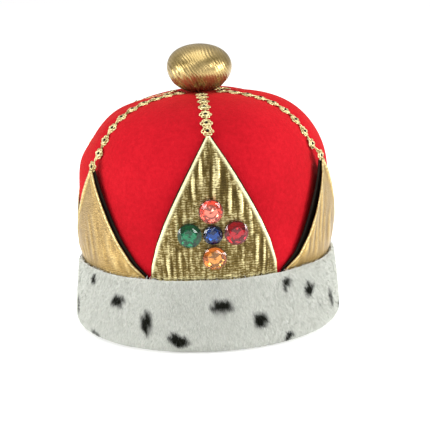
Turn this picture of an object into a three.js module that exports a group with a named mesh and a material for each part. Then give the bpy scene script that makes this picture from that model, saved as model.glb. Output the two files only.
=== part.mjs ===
import * as THREE from "three";

// Plush crown hat: a padded red dome of six gores, a padded fur band folded round the rim,
// six gold points that stand round the dome on black backings, a gold braid up each gore
// seam, a stuffed gold knob on top and five faceted stones on the front point.
// Millimetres, +Z up. The front is towards -Y, and the origin is the centre of the rim on
// the surface that the hat rests on. Angles run from the front towards +X.

// Head opening and fur band
const headRadius = 91; // inside of the lip that is turned in, 572 mm round
const lipThickness = 2;
const lipHeight = 15;
const bandHeight = 57;
const furStand = 13.6; // from the head opening out to the fur at its widest, low on the band
const furTopStand = 10.8; // the same along the band's top
const bandWave = 0.45; // how far the fur swells and dips round the band
const lipRound = 1.2; // rounding of the band's edges
const hemRise = 8; // fur between the table and the dome's lower edge
const sewnGap = 0.4; // between layers that are sewn together

// Dome
const domeHeight = 184.6; // rim to the top of the dome, under the knob
const wallStand = 6.4; // from the head opening out to the dome's wall
const seamStand = 3; // the same where the band's top edge draws the dome in
const padding = 3.4; // wall on top, padded
const hemWall = 2.2; // wall inside the band, not padded
const goreSag = 5; // deepest sag of a gore or seam near the top
const gorePuff = 1.5; // swelling of each gore between two points
const seamDip = 0.8; // crease that the braid lies in
const creaseWidth = 5;
const shoulderShare = 0.61; // share of the dome's height above the band where its top bends in
const crownShare = 0.73; // share of that height from which a sag has its full depth
const puffShare = 0.2; // share of that height by which the gores have swelled out
const flatShare = 0.12; // share of wallRadius that stays flat under the knob
const broadShare = 0.56; // share of wallRadius from which a sag has its full depth

// Gold points and their black backings
const frontTipHeight = 161;
const tipHeight = 135;
const pointSpread = 28.3; // degrees from a point's middle to its corner at the band
const tipWidth = 2.4;
const tuck = 7; // cloth hidden behind the band
const lameThickness = 1.4;
const backingThickness = 1.4;
const clothGap = 0.6; // between the dome, a backing and its gold
const backingMargin = 1.3; // black that shows past the gold
const foldDepth = 0.6;
const foldWidth = 0.16; // share of half the point's width
const foldFade = 0.1; // share of the point's height over which a fold starts or ends
const liftFrom = 0.25; // share of the height from which the point stands away from the dome
const curlFrom = 0.4; // share of half the width from which an edge curls up
const backingCurl = 0.5; // share of a curl that the backing follows, and that it shows below

// Braid
const braidWidth = 10;
const braidPitch = 10.85; // from rosette to rosette
const braidNeck = 3.2;
const braidThickness = 1.6;
const braidTop = 15.5; // radius at which it goes under the knob

// Knob
const knobRadius = 26.2;
const knobHalfHeight = 19.1;
const knobSeat = 7; // radius of the flat where it is sewn on

// Stones, set as a cross on the front point
const stoneWidth = 18.4;
const crossShare = 0.342; // share of the front point's height at which the cross has its middle
const crossReach = 17; // from its middle to the stones round it
const stoneHeight = 4.6;
const girdle = 0.9;
const stoneSides = 12;
const glueGap = 0.3;

// Mesh steps
const turnSteps = 54;
const knobSteps = 24;
const knobRows = 11;
const rosetteSteps = 4;
const longestStep = 18; // between two rows of a point, along the cloth
const shortestStep = 2;

const red = { color: 0xd9141c, roughness: 0.85, metalness: 0 };
const fur = { color: 0xe9e8e2, roughness: 0.95, metalness: 0 };
const gold = { color: 0xb8943f, roughness: 0.38, metalness: 0.85 };
const black = { color: 0x15110e, roughness: 0.8, metalness: 0 };
const glass = { roughness: 0.08, metalness: 0.1, flatShading: true };

// The dome's outline above the band, from the top down. Radius is a share of wallRadius and
// height a share of the way from the band's top edge to the dome's top.
const OUTLINE = [
  { radius: 0, height: 1 },
  { radius: 0.09, height: 1 },
  { radius: 0.226, height: 1.005 },
  { radius: 0.339, height: 1 },
  { radius: 0.452, height: 0.988 },
  { radius: 0.554, height: 0.972 },
  { radius: 0.657, height: 0.945 },
  { radius: 0.755, height: 0.904 },
  { radius: 0.837, height: 0.849 },
  { radius: 0.907, height: 0.783 },
  { radius: 0.96, height: 0.71 },
  { radius: 0.991, height: 0.607 },
  { radius: 1, height: 0.455 },
  { radius: 1, height: 0.219 },
  { radius: 0.989, height: 0.086 },
];

// The band's outer face from the table up. Out runs from 0 at bandTopRadius to 1 at bandRadius.
const BAND_SKIN = [
  { out: -0.6, height: 0 },
  { out: 0.54, height: 0.05 },
  { out: 0.93, height: 0.15 },
  { out: 1, height: 0.27 },
  { out: 0.6, height: 0.55 },
  { out: 0, height: 0.88 },
  { out: -0.25, height: 0.975 },
];

// Swells round the band: how many, and their depth as a share of bandWave.
const WAVES = [
  { count: 8, depth: 1 },
  { count: 12, depth: 0.4 },
];

// One row for each point, with the seam above it and the gore to that seam's right. Sags are
// shares of goreSag, and lift is how far the point's tip stands off the dome.
const POINTS = [
  { name: "front", tip: frontTipHeight, lift: 1.5, columns: 12, seamSag: 0, goreSag: -0.2 },
  { name: "right", tip: tipHeight, lift: 3.2, columns: 8, seamSag: 0, goreSag: 0.1 },
  { name: "back_right", tip: tipHeight, lift: 2.6, columns: 8, seamSag: 0.5, goreSag: 0.2 },
  { name: "back", tip: tipHeight, lift: 2.2, columns: 8, seamSag: 0.2, goreSag: 0.6 },
  { name: "back_left", tip: tipHeight, lift: 3.4, columns: 8, seamSag: 0.8, goreSag: 1.1 },
  { name: "left", tip: tipHeight, lift: 1.6, columns: 8, seamSag: 0, goreSag: -0.2 },
];

// Both edges of each point, seen from outside. Reach is the share of pointSpread that the edge
// keeps at the band. An edge bows outwards where bulge is over 1 and inwards below it, and curl
// is how far it stands off the dome halfway up.
const EDGES = {
  front: { left: { reach: 0.98, bulge: 1.35, curl: 0.2 }, right: { reach: 1.02, bulge: 1.35, curl: 0.4 } },
  right: { left: { reach: 0.91, bulge: 0.68, curl: 4 }, right: { reach: 1, bulge: 1.2, curl: 0.5 } },
  back_right: { left: { reach: 1, bulge: 1.05, curl: 1.5 }, right: { reach: 1, bulge: 1.15, curl: 0.8 } },
  back: { left: { reach: 1, bulge: 1.1, curl: 0.6 }, right: { reach: 0.96, bulge: 0.95, curl: 2 } },
  back_left: { left: { reach: 1, bulge: 1, curl: 1.8 }, right: { reach: 1, bulge: 1.15, curl: 0.5 } },
  left: { left: { reach: 1, bulge: 1.12, curl: 0.5 }, right: { reach: 1, bulge: 0.8, curl: 1.3 } },
};

// Soft folds in the gold cloth. Across runs from -1 to 1 between a point's edges, from and to
// are shares of its height, and depth is a share of foldDepth.
const FOLDS = [
  { across: -0.35, from: 0.45, to: 0.95, depth: 1 },
  { across: 0.05, from: 0.55, to: 1, depth: 0.8 },
  { across: 0.33, from: 0.3, to: 0.8, depth: 1 },
  { across: 0.66, from: 0.2, to: 0.6, depth: 0.8 },
  { across: -0.7, from: 0, to: 0.35, depth: 0.8 },
  { across: -0.17, from: 0, to: 0.4, depth: -0.5 },
  { across: 0.83, from: 0, to: 0.25, depth: 0.7 },
];

// Stones on the front point. Across and up are shares of crossReach, and width one of stoneWidth.
const STONES = [
  { name: "pink", across: -0.05, up: 1.04, width: 1, color: 0xf06a55 },
  { name: "green", across: -1, up: 0, width: 1, color: 0x0f7a45 },
  { name: "blue", across: 0, up: 0, width: 0.81, color: 0x163a9c },
  { name: "red", across: 1, up: 0.03, width: 1, color: 0xd01226 },
  { name: "amber", across: 0.04, up: -1.04, width: 1, color: 0xe98a35 },
];

const bandRadius = headRadius + furStand;
const bandTopRadius = headRadius + furTopStand;
const wallRadius = headRadius + wallStand;
const seamRadius = headRadius + seamStand;
const seamStep = (2 * Math.PI) / POINTS.length;
const edgeRadius = headRadius + lipThickness + sewnGap + hemWall;
const layers = 2 * clothGap + backingThickness + lameThickness;
const radians = (degrees) => (degrees * Math.PI) / 180;
const smooth = THREE.MathUtils.smoothstep;
const mix = THREE.MathUtils.lerp;
const heightAbove = (share) => mix(bandHeight, domeHeight, share);
const crossHeight = mix(bandHeight, frontTipHeight, crossShare);

// The dome's outline as one curve, x the radius and y the height, down to its hidden edge.
const meridian = new THREE.CatmullRomCurve3([
  ...OUTLINE.map(
    (row) => new THREE.Vector3(row.radius * wallRadius, heightAbove(row.height), 0)
  ),
  new THREE.Vector3(seamRadius, bandHeight, 0),
  new THREE.Vector3(seamRadius, bandHeight - tuck, 0),
  new THREE.Vector3(edgeRadius, (hemRise + bandHeight - tuck) / 2, 0),
  new THREE.Vector3(edgeRadius, hemRise, 0),
], false, "centripetal");
meridian.arcLengthDivisions = 600;

// Share of the meridian's length, from the top, at which isAbove(place) stops being true.
function shareWhere(isAbove) {
  let above = 0;
  let below = 1;
  for (let halving = 0; halving < 40; halving++) {
    const middle = (above + below) / 2;
    if (isAbove(meridian.getPointAt(middle))) above = middle;
    else below = middle;
  }
  return below;
}
const shareAtHeight = (height) => shareWhere((place) => place.y > height);
const shareAtRadius = (radius) => shareWhere((place) => place.x < radius && place.y > bandHeight);
const bandShare = shareAtHeight(bandHeight);

// The meridian's rows as shares of its length.
const lengths = meridian.getLengths();
const rowShares = meridian.points.map((_, row) => {
  const division = (row / (meridian.points.length - 1)) * meridian.arcLengthDivisions;
  const whole = Math.min(Math.floor(division), meridian.arcLengthDivisions - 1);
  return mix(lengths[whole], lengths[whole + 1], division - whole) / lengths.at(-1);
});

// How far the cloth stands out from the plain meridian at an angle and height.
function swell(angle, place) {
  const turn = THREE.MathUtils.euclideanModulo(angle / seamStep, POINTS.length);
  const row = Math.floor(turn);
  const within = turn - row;
  const here = POINTS[row];
  const next = POINTS[(row + 1) % POINTS.length];
  const sag = within < 0.5
    ? mix(here.seamSag, here.goreSag, smooth(within, 0, 0.5))
    : mix(here.goreSag, next.seamSag, smooth(within, 0.5, 1));
  const top = smooth(place.y, heightAbove(shoulderShare), heightAbove(crownShare));
  const upper = top * smooth(place.x, flatShare * wallRadius, broadShare * wallRadius);
  const lower = (1 - top) * smooth(place.y, bandHeight, heightAbove(puffShare));
  const gore = (1 - Math.cos(2 * Math.PI * within)) / 2;
  return gorePuff * gore * lower - goreSag * sag * upper;
}

// A spot on the cloth: angle round the hat, share down the meridian, distance off the cloth.
function spot(angle, share, off) {
  const place = meridian.getPointAt(share);
  const tangent = meridian.getTangentAt(share);
  const out = off + swell(angle, place);
  const radius = Math.max(place.x - tangent.y * out, 0);
  const height = place.y + tangent.x * out;
  return new THREE.Vector3(radius * Math.sin(angle), -radius * Math.cos(angle), height);
}

// A lathed solid whose closed outline may change with the angle round the axis.
function lathed(outline, steps, twist = () => 0) {
  const rows = outline(0);
  const geometry = new THREE.LatheGeometry(rows, steps);
  const position = geometry.attributes.position;
  for (let step = 0; step <= steps; step++) {
    const angle = ((step % steps) / steps) * 2 * Math.PI;
    outline(angle).forEach((at, row) => {
      const turned = angle + twist(row);
      position.setXYZ(step * rows.length + row, at.x * Math.sin(turned), -at.x * Math.cos(turned), at.y);
    });
  }
  return geometry;
}

// A block with steps across and up, each of its corners moved by place(across, up, out): across
// runs from -1 to 1, up from 0 to 1, and out is 0 on the inner face and 1 on the outer one.
function shaped(across, up, place) {
  const geometry = new THREE.BoxGeometry(2, 1, 1, across, up, 1);
  const position = geometry.attributes.position;
  for (let corner = 0; corner < position.count; corner++) {
    const moved = place(position.getX(corner), position.getY(corner) + 0.5, position.getZ(corner) + 0.5);
    position.setXYZ(corner, moved.x, moved.y, moved.z);
  }
  splitShort(geometry);
  return geometry;
}

// Splits each four-sided face along its shorter diagonal, so that a tapered block stays smooth.
function splitShort(geometry) {
  const { index } = geometry;
  const at = (corner) => new THREE.Vector3().fromBufferAttribute(geometry.attributes.position, corner);
  for (let face = 0; face < index.count; face += 6) {
    const [a, b, d, , c] = index.array.slice(face, face + 6);
    if (at(a).distanceTo(at(c)) < at(b).distanceTo(at(d))) index.array.set([a, b, c, a, c, d], face);
  }
}

function named(name, geometry, finish) {
  geometry.computeVertexNormals();
  const mesh = new THREE.Mesh(geometry, new THREE.MeshStandardMaterial(finish));
  mesh.name = name;
  return mesh;
}

// Crease along the seams above the band, where the braid is sewn down.
function crease(angle, place) {
  const fromSeam = (angle - Math.round(angle / seamStep) * seamStep) * place.x;
  const aboveBand = smooth(place.y, bandHeight, heightAbove(puffShare));
  return seamDip * Math.exp(-((fromSeam / creaseWidth) ** 2)) * aboveBand;
}

function dome() {
  const outline = (angle) => {
    const at = (share, depth) => {
      const cloth = spot(angle, share, -depth - crease(angle, meridian.getPointAt(share)));
      return new THREE.Vector2(Math.hypot(cloth.x, cloth.y), cloth.z);
    };
    const outer = rowShares.map((share) => at(share, 0));
    const innerRows = rowShares.filter((_, row) => row % 2 === 0 || row > OUTLINE.length);
    const inner = innerRows.map((share) => {
      const hem = smooth(share, shareAtHeight(heightAbove(puffShare)), bandShare);
      return at(share, mix(padding, hemWall, hem));
    });
    return [...inner, ...outer.reverse()];
  };
  return named("dome", lathed(outline, turnSteps), red);
}

function furBand() {
  const pocket = seamRadius + layers + clothGap;
  const floor = bandHeight - tuck - 2 * sewnGap;
  const innerWall = edgeRadius + sewnGap;
  const slotFloor = hemRise - sewnGap;
  const lipOuter = headRadius + lipThickness;
  const outline = (angle) => {
    const wave = WAVES.reduce((sum, row) => sum + row.depth * Math.sin(row.count * angle), 0);
    const at = (radius, height) => new THREE.Vector2(radius, height);
    const skin = BAND_SKIN.map((row) =>
      at(mix(bandTopRadius, bandRadius, row.out) + bandWave * wave, row.height * bandHeight));
    return [
      at(headRadius + lipRound, 0),
      ...skin,
      at((pocket + bandTopRadius) / 2, bandHeight),
      at(pocket, bandHeight - lipRound),
      at(pocket, floor),
      at(innerWall, floor),
      at(innerWall, slotFloor),
      at(lipOuter, slotFloor),
      at(lipOuter, lipHeight),
      at(headRadius, lipHeight),
      at(headRadius, lipRound),
      at(headRadius + lipRound, 0),
    ];
  };
  return named("fur_band", lathed(outline, turnSteps), fur);
}

function knob() {
  const seatHeight = domeHeight + sewnGap;
  const centre = seatHeight + knobHalfHeight * Math.sqrt(1 - (knobSeat / knobRadius) ** 2);
  const seatAngle = Math.asin(knobSeat / knobRadius);
  const outline = () => {
    const curve = Array.from({ length: knobRows }, (_, row) => {
      const down = mix(seatAngle, Math.PI, row / (knobRows - 1));
      const radius = row === knobRows - 1 ? 0 : knobRadius * Math.sin(down);
      return new THREE.Vector2(radius, centre - knobHalfHeight * Math.cos(down));
    });
    return [new THREE.Vector2(0, seatHeight), ...curve];
  };
  return named("knob", lathed(outline, knobSteps), gold);
}

// Rows of a point from its hidden base to its tip: those of the dome, and one more wherever
// two of them lie far apart.
function pointRows(row) {
  const base = shareAtHeight(bandHeight - tuck);
  const tip = shareAtHeight(row.tip);
  const margin = shortestStep / meridian.getLength();
  const between = rowShares.filter((share) => share < base - margin && share > tip + margin);
  const rows = [base, ...between.reverse(), tip];
  const longest = longestStep / meridian.getLength();
  return rows.flatMap((share, index) => {
    const next = rows[index + 1] ?? share;
    return share - next > longest ? [share, mix(share, next, 0.5)] : [share];
  });
}

// How far up a point a row lies, from 0 at the band to 1 at the tip.
function heightShare(row, share) {
  return (bandShare - share) / (bandShare - shareAtHeight(row.tip));
}

// The edge of a point that lies on the same side of its middle as across.
const edgeBy = (row, across) => EDGES[row.name][across < 0 ? "left" : "right"];

// How far a point curls away from the dome.
function curl(row, across, up) {
  const halfway = Math.sin(Math.PI * THREE.MathUtils.clamp(up, 0, 1));
  return edgeBy(row, across).curl * smooth(Math.abs(across), curlFrom, 1) * halfway;
}

// Half the width of a point at a share of its height, as an angle.
function halfWidth(row, across, up, margin) {
  const edge = edgeBy(row, across);
  const taper = 1 - THREE.MathUtils.clamp(up, 0, 1) ** edge.bulge;
  return radians(pointSpread) * edge.reach * taper + (tipWidth / 2 + margin) / wallRadius;
}

function folds(across, up) {
  return FOLDS.reduce((sum, fold) => {
    const ridge = Math.exp(-(((across - fold.across) / foldWidth) ** 2));
    const start = smooth(up, fold.from - foldFade, fold.from + foldFade);
    const end = 1 - smooth(up, fold.to - foldFade, fold.to + foldFade);
    return sum + foldDepth * fold.depth * ridge * start * end * smooth(up, 0, foldFade);
  }, 0);
}

// One layer of a point: off is the distance of its inner face off the dome.
function pointLayer(row, middle, { off, margin, thickness }) {
  const rows = pointRows(row);
  const place = (across, up, out) => {
    const share = rows[Math.round(up * (rows.length - 1))];
    const above = heightShare(row, share);
    const lift = row.lift * smooth(above, liftFrom, 1) + off(across, above);
    const turn = across * halfWidth(row, across, above, margin(across, above));
    return spot(middle + turn, share, lift + out * thickness(across, above));
  };
  return shaped(row.columns, rows.length - 1, place);
}

function goldPoint(row, middle) {
  const layer = pointLayer(row, middle, {
    off: (across, up) => 2 * clothGap + backingThickness + curl(row, across, up),
    margin: () => 0,
    thickness: (across, up) => lameThickness + folds(across, up),
  });
  return named(`point_${row.name}`, layer, gold);
}

function backing(row, middle) {
  const layer = pointLayer(row, middle, {
    off: (across, up) => clothGap + backingCurl * curl(row, across, up),
    margin: (across, up) => backingMargin + backingCurl * curl(row, Math.sign(across), up),
    thickness: () => backingThickness,
  });
  return named(`backing_${row.name}`, layer, black);
}

// A strip of rosettes with narrow necks between them, from the point's tip to the knob.
function braid(row, middle) {
  const top = shareAtRadius(braidTop);
  const low = shareAtHeight(row.tip) - sewnGap / meridian.getLength();
  const length = (low - top) * meridian.getLength();
  const steps = Math.round((length / braidPitch) * rosetteSteps);
  const place = (across, up, out) => {
    const share = mix(low, top, up);
    const petal = Math.abs(Math.sin((Math.PI * up * steps) / rosetteSteps)) ** 0.6;
    const half = (across * mix(braidNeck, braidWidth, petal)) / 2;
    const toTip = 1 - smooth(up * length, 0, 2 * braidPitch);
    const off = sewnGap - seamDip / 3 + (row.lift + backingThickness) * toTip + out * braidThickness;
    const sideways = new THREE.Vector3(Math.cos(middle), Math.sin(middle), 0);
    return spot(middle, share, off).addScaledVector(sideways, half);
  };
  return named(`braid_${row.name}`, shaped(1, steps, place), gold);
}

// A round stone with a flat back, a girdle, two rows of facets and a table.
function stone(row) {
  const radius = (row.width * stoneWidth) / 2;
  const middle = { across: row.across * crossReach, height: crossHeight + row.up * crossReach };
  const outline = () => [
    new THREE.Vector2(0, 0),
    new THREE.Vector2(radius, 0),
    new THREE.Vector2(radius, girdle),
    new THREE.Vector2(0.84 * radius, 0.62 * stoneHeight),
    new THREE.Vector2(0.56 * radius, stoneHeight),
    new THREE.Vector2(0, stoneHeight),
  ];
  const half = Math.PI / stoneSides;
  const twist = (line) => (line === 3 ? half : 0);
  const mesh = named(`gem_${row.name}`, lathed(outline, stoneSides, twist), { ...glass, color: row.color });
  const front = POINTS[0];
  const foldUnder = (x, z) => {
    const above = heightShare(front, shareAtHeight(z));
    return folds(x / (wallRadius + layers) / halfWidth(front, x, above, 0), above);
  };
  const sides = [-1, -0.5, 0, 0.5, 1].map((share) => share * radius);
  const under = sides.flatMap((x) => sides.map((y) => foldUnder(middle.across + x, middle.height + y)));
  const off = layers + Math.max(0, ...under) + glueGap;
  const cloth = (x, z) => {
    const share = shareAtHeight(z);
    const lift = front.lift * smooth(heightShare(front, share), liftFrom, 1);
    return spot(x / (wallRadius + layers), share, off + lift);
  };
  const { across, height } = middle;
  const at = cloth(across, height);
  const right = cloth(across + radius, height).sub(cloth(across - radius, height));
  const upward = cloth(across, height + radius).sub(cloth(across, height - radius));
  const outward = right.clone().cross(upward).normalize();
  mesh.quaternion.setFromUnitVectors(new THREE.Vector3(0, 0, 1), outward);
  mesh.position.copy(at);
  return mesh;
}

const group = new THREE.Group();
group.add(dome(), furBand(), knob());
POINTS.forEach((row, index) => {
  const middle = index * seamStep;
  group.add(goldPoint(row, middle), backing(row, middle), braid(row, middle));
});
STONES.forEach((row) => group.add(stone(row)));

export default group;
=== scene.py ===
# %% [markdown]
# # Plush crown hat
# A costume crown to wear: a red velvet dome sewn from six gores, six gold cloth points that
# stand round it on black backings, rosette braid up the seams, a stuffed gold knob, five
# glued stones and a band of white fur with black spots. The solids of the frame give every
# size and place. Here each of them gets its real surface: cloth is made as fine meshes that
# start from the solids, and what repeats is made with Geometry Nodes.

# %% Load the frame
import math

import bmesh
import bpy
import numpy as np
from mathutils import Matrix, Vector
from mathutils.bvhtree import BVHTree


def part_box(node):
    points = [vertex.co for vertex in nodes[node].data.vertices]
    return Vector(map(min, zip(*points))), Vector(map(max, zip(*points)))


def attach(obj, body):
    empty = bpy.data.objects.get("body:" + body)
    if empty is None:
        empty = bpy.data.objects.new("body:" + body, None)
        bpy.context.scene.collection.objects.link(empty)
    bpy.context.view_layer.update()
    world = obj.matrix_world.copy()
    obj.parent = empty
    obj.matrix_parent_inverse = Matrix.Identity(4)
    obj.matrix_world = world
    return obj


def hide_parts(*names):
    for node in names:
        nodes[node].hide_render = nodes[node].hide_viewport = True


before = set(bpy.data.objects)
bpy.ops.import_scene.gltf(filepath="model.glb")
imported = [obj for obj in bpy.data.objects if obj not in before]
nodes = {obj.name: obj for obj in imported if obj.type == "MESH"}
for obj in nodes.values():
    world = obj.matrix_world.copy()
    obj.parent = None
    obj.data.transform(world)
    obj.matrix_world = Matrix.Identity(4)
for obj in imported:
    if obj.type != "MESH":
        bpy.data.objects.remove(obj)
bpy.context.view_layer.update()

MM = 0.001
POINTS = ["front", "right", "back_right", "back", "back_left", "left"]
GEMS = ["pink", "green", "blue", "red", "amber"]
print("nodes", len(nodes))

# %% [markdown]
# ## Camera
# The hat is seen from 1.35 m, a little above, and the picture is turned slightly: the hat
# leans to the left in it. Place, aim and lens are worked out from four lengths and a roll.
# A matrix sets all of them at once, which is plainer than rotations in three steps.

# %% The camera
VIEW_TURN = math.radians(3.3)     # the hat's front is turned this far to the camera's right
VIEW_DISTANCE = 1.35
VIEW_HEIGHT = 0.385
VIEW_ASIDE = 0.008                # the axis stands left of the picture's middle
AIM_HEIGHT = 0.0845
VIEW_ROLL = math.radians(2.25)
FOCAL_SHARE = 1735 / 430          # focal length as a share of the picture's width
SENSOR = 36


def turned(vector, angle):
    """The vector turned about the hat's axis, from the camera's frame to the hat's."""
    return Matrix.Rotation(-angle, 3, "Z") @ Vector(vector)


def make_camera():
    place = Vector((VIEW_ASIDE, -VIEW_DISTANCE, VIEW_HEIGHT))
    ahead = (Vector((VIEW_ASIDE, 0, AIM_HEIGHT)) - place).normalized()
    side = ahead.cross(Vector((0, 0, 1))).normalized()
    above = side.cross(ahead)
    right = side * math.cos(VIEW_ROLL) - above * math.sin(VIEW_ROLL)
    up = side * math.sin(VIEW_ROLL) + above * math.cos(VIEW_ROLL)
    axes = [turned(v, VIEW_TURN) for v in (right, up, -ahead)]
    data = bpy.data.cameras.new("camera")
    data.sensor_width = SENSOR
    data.lens = SENSOR * FOCAL_SHARE
    data.clip_end = 20
    camera = bpy.data.objects.new("camera", data)
    matrix = Matrix(axes).transposed().to_4x4()
    matrix.translation = turned(place, VIEW_TURN)
    camera.matrix_world = matrix
    bpy.context.scene.collection.objects.link(camera)
    bpy.context.scene.camera = camera


make_camera()
print("lens", round(bpy.context.scene.camera.data.lens, 1), "mm")

# %% [markdown]
# ## Floor and light
# A product photo on white: a pale floor that runs out of view, a broad light above, a small
# one high at each side that flashes in the stones, a low one at each side, and little light
# from the camera's side. Metallic cloth shows what it reflects, so the darker front gives
# the front point its olive depth, which its own finish deepens with painted shade, and the
# bright sides make the side points pale. The floor glows a little, because it has to stay
# white as far as the camera sees it.

# %% Floor and lights
FLOOR_GLOW = 0.45
WORLD_GLOW = 0.5
LIT_PLACE = Vector((0, 0, 0.1))   # every light faces this place, the middle of the hat
LIGHTS = [
    # name, place and size in metres, power in watts
    {"name": "top", "at": (-0.2, -0.1, 1.9), "size": 1.6, "power": 24},
    {"name": "left", "at": (-1.5, -1.18, 1.11), "size": 0.45, "power": 8},
    {"name": "right", "at": (1.5, -1.18, 1.11), "size": 0.45, "power": 8},
    {"name": "front", "at": (0.5, -2.6, 1.2), "size": 0.6, "power": 3},
    {"name": "low_left", "at": (-1.35, -0.15, 0.3), "size": 0.5, "power": 9},
    {"name": "low_right", "at": (1.35, -0.25, 0.32), "size": 0.5, "power": 13},
]


def link(obj):
    bpy.context.scene.collection.objects.link(obj)
    return obj


def make_floor():
    bpy.ops.mesh.primitive_plane_add(size=12, location=(0, 3, 0))
    floor = bpy.context.object
    floor.name = "floor"
    material = bpy.data.materials.new("pale_floor")
    material.use_nodes = True
    surface = material.node_tree.nodes["Principled BSDF"]
    surface.inputs["Base Color"].default_value = (0.93, 0.93, 0.93, 1)
    surface.inputs["Roughness"].default_value = 0.7
    surface.inputs["Specular IOR Level"].default_value = 0.1
    surface.inputs["Emission Color"].default_value = (1, 1, 1, 1)
    surface.inputs["Emission Strength"].default_value = FLOOR_GLOW
    floor.data.materials.append(material)


def make_lights():
    for row in LIGHTS:
        data = bpy.data.lights.new(row["name"], "AREA")
        data.shape = "SQUARE"
        data.size = row["size"]
        data.energy = row["power"]
        light = link(bpy.data.objects.new(row["name"], data))
        light.location = row["at"]
        towards = LIT_PLACE - Vector(row["at"])
        light.rotation_euler = towards.to_track_quat("-Z", "Y").to_euler()
    world = bpy.data.worlds.new("studio")
    world.use_nodes = True
    glow = world.node_tree.nodes["Background"]
    glow.inputs["Color"].default_value = (1, 1, 1, 1)
    glow.inputs["Strength"].default_value = WORLD_GLOW
    bpy.context.scene.world = world
    bpy.context.scene.view_settings.view_transform = "Standard"


make_floor()
make_lights()
print("lights", [row["name"] for row in LIGHTS])

# %% [markdown]
# ## Tools for cloth
# Every soft piece starts from its solid. Either the solid's mesh is copied, its triangles
# are joined to quads and a Subdivision Surface rounds it, or rays are cast at the solid to
# read its radius on a fine grid, which is then smoothed and folded. Both keep the piece
# where the frame has it.

# %% Copies of the solids
def bare_mesh(node):
    """A copy of a node's mesh with its loose triangles merged."""
    work = bmesh.new()
    work.from_mesh(nodes[node].data)
    bmesh.ops.remove_doubles(work, verts=work.verts, dist=1e-6)
    return work


def from_bmesh(name, work):
    mesh = bpy.data.meshes.new(name)
    work.to_mesh(mesh)
    work.free()
    return link(bpy.data.objects.new(name, mesh))


def rounded_copy(node, name, levels, hard_angle=50):
    """A copy of a node with quads instead of triangles, rounded but for its sharp edges."""
    work = bare_mesh(node)
    bmesh.ops.join_triangles(
        work, faces=work.faces, angle_face_threshold=math.radians(hard_angle),
        angle_shape_threshold=math.pi,
    )
    crease = work.edges.layers.float.new("crease_edge")
    for edge in work.edges:
        if edge.calc_face_angle(0) > math.radians(hard_angle):
            edge[crease] = 1
    obj = from_bmesh(name, work)
    rounding = obj.modifiers.new("rounding", "SUBSURF")
    rounding.levels = rounding.render_levels = levels
    apply_modifiers(obj)
    return obj


def apply_modifiers(obj):
    """Give the object the mesh that its modifiers make, and drop the modifiers."""
    graph = bpy.context.evaluated_depsgraph_get()
    mesh = bpy.data.meshes.new_from_object(obj.evaluated_get(graph))
    obj.modifiers.clear()
    obj.data = mesh
    mesh.name = obj.name
    mesh.shade_smooth()


# %% [markdown]
# The cloth is shaped with arithmetic on all of a mesh's corners at once. A Displace modifier
# could raise it by a texture, but it can't tell a seam from the middle of a gore, and here
# each dent has a place of its own. Seeded waves give the soft unevenness of anything stuffed.

# %% Corners, angles and waves
def corners(mesh):
    places = np.empty(len(mesh.vertices) * 3)
    mesh.vertices.foreach_get("co", places)
    return places.reshape(-1, 3)


def normals(mesh):
    ways = np.empty(len(mesh.vertices) * 3)
    mesh.vertices.foreach_get("normal", ways)
    return ways.reshape(-1, 3)


def move_corners(mesh, places):
    mesh.vertices.foreach_set("co", np.ascontiguousarray(places).ravel())
    mesh.update()


def angles(places):
    """Angle round the hat of each place, from the front towards +X."""
    return np.arctan2(places[:, 0], -places[:, 1])


def store(mesh, name, values):
    """Keep one number for each corner, for the materials and Geometry Nodes to read."""
    layer = mesh.attributes.new(name, "FLOAT", "POINT")
    layer.data.foreach_set("value", np.ascontiguousarray(values, dtype=np.float32))


def smooth(low, high, x):
    """From 0 below low to 1 above high, with no kink at either end."""
    t = np.clip((x - low) / (high - low), 0, 1)
    return t * t * (3 - 2 * t)


def waves(x, y, z, seed, count=9, size=0.02):
    """Soft uneven swelling between about -1 and 1: a sum of plain waves in seeded directions."""
    chance = np.random.default_rng(seed)
    total = np.zeros_like(x)
    for _ in range(count):
        way = chance.normal(size=3)
        way /= np.linalg.norm(way)
        length = size * chance.uniform(0.7, 1.6)
        phase = chance.uniform(0, 2 * math.pi)
        total += np.sin((x * way[0] + y * way[1] + z * way[2]) * 2 * math.pi / length + phase)
    return total / math.sqrt(count)


# %% [markdown]
# ## Shared surface effects
# Three small node groups are used by several finishes. One gives the uneven tone of pile or
# cloth, one the height of short pile, and one the fine knit of metallic cloth. They put out
# masks and heights, and each material mixes them in its own way. The knit could be a plain
# wave, but then its rows look printed, so noise bends them and breaks them into dashes.

# %% Shader node groups
def new_group(name, inputs, outputs):
    group = bpy.data.node_groups.new(name, "ShaderNodeTree")
    for label, kind, value in inputs:
        socket = group.interface.new_socket(label, in_out="INPUT", socket_type=kind)
        if value is not None:
            socket.default_value = value
    for label, kind in outputs:
        group.interface.new_socket(label, in_out="OUTPUT", socket_type=kind)
    return group, group.nodes.new("NodeGroupInput"), group.nodes.new("NodeGroupOutput")


def math_node(tree, operation, a, b=None):
    node = tree.nodes.new("ShaderNodeMath")
    node.operation = operation
    for socket, value in zip(node.inputs, (a, b)):
        if hasattr(value, "is_linked"):
            tree.links.new(value, socket)
        elif value is not None:
            socket.default_value = value
    return node.outputs[0]


def noise_at(tree, vector, scale, detail=3.0, roughness=0.55):
    node = tree.nodes.new("ShaderNodeTexNoise")
    node.inputs["Detail"].default_value = detail
    node.inputs["Roughness"].default_value = roughness
    if hasattr(scale, "is_linked"):
        tree.links.new(scale, node.inputs["Scale"])
    else:
        node.inputs["Scale"].default_value = scale
    tree.links.new(vector, node.inputs["Vector"])
    return node.outputs["Fac"]


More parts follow.
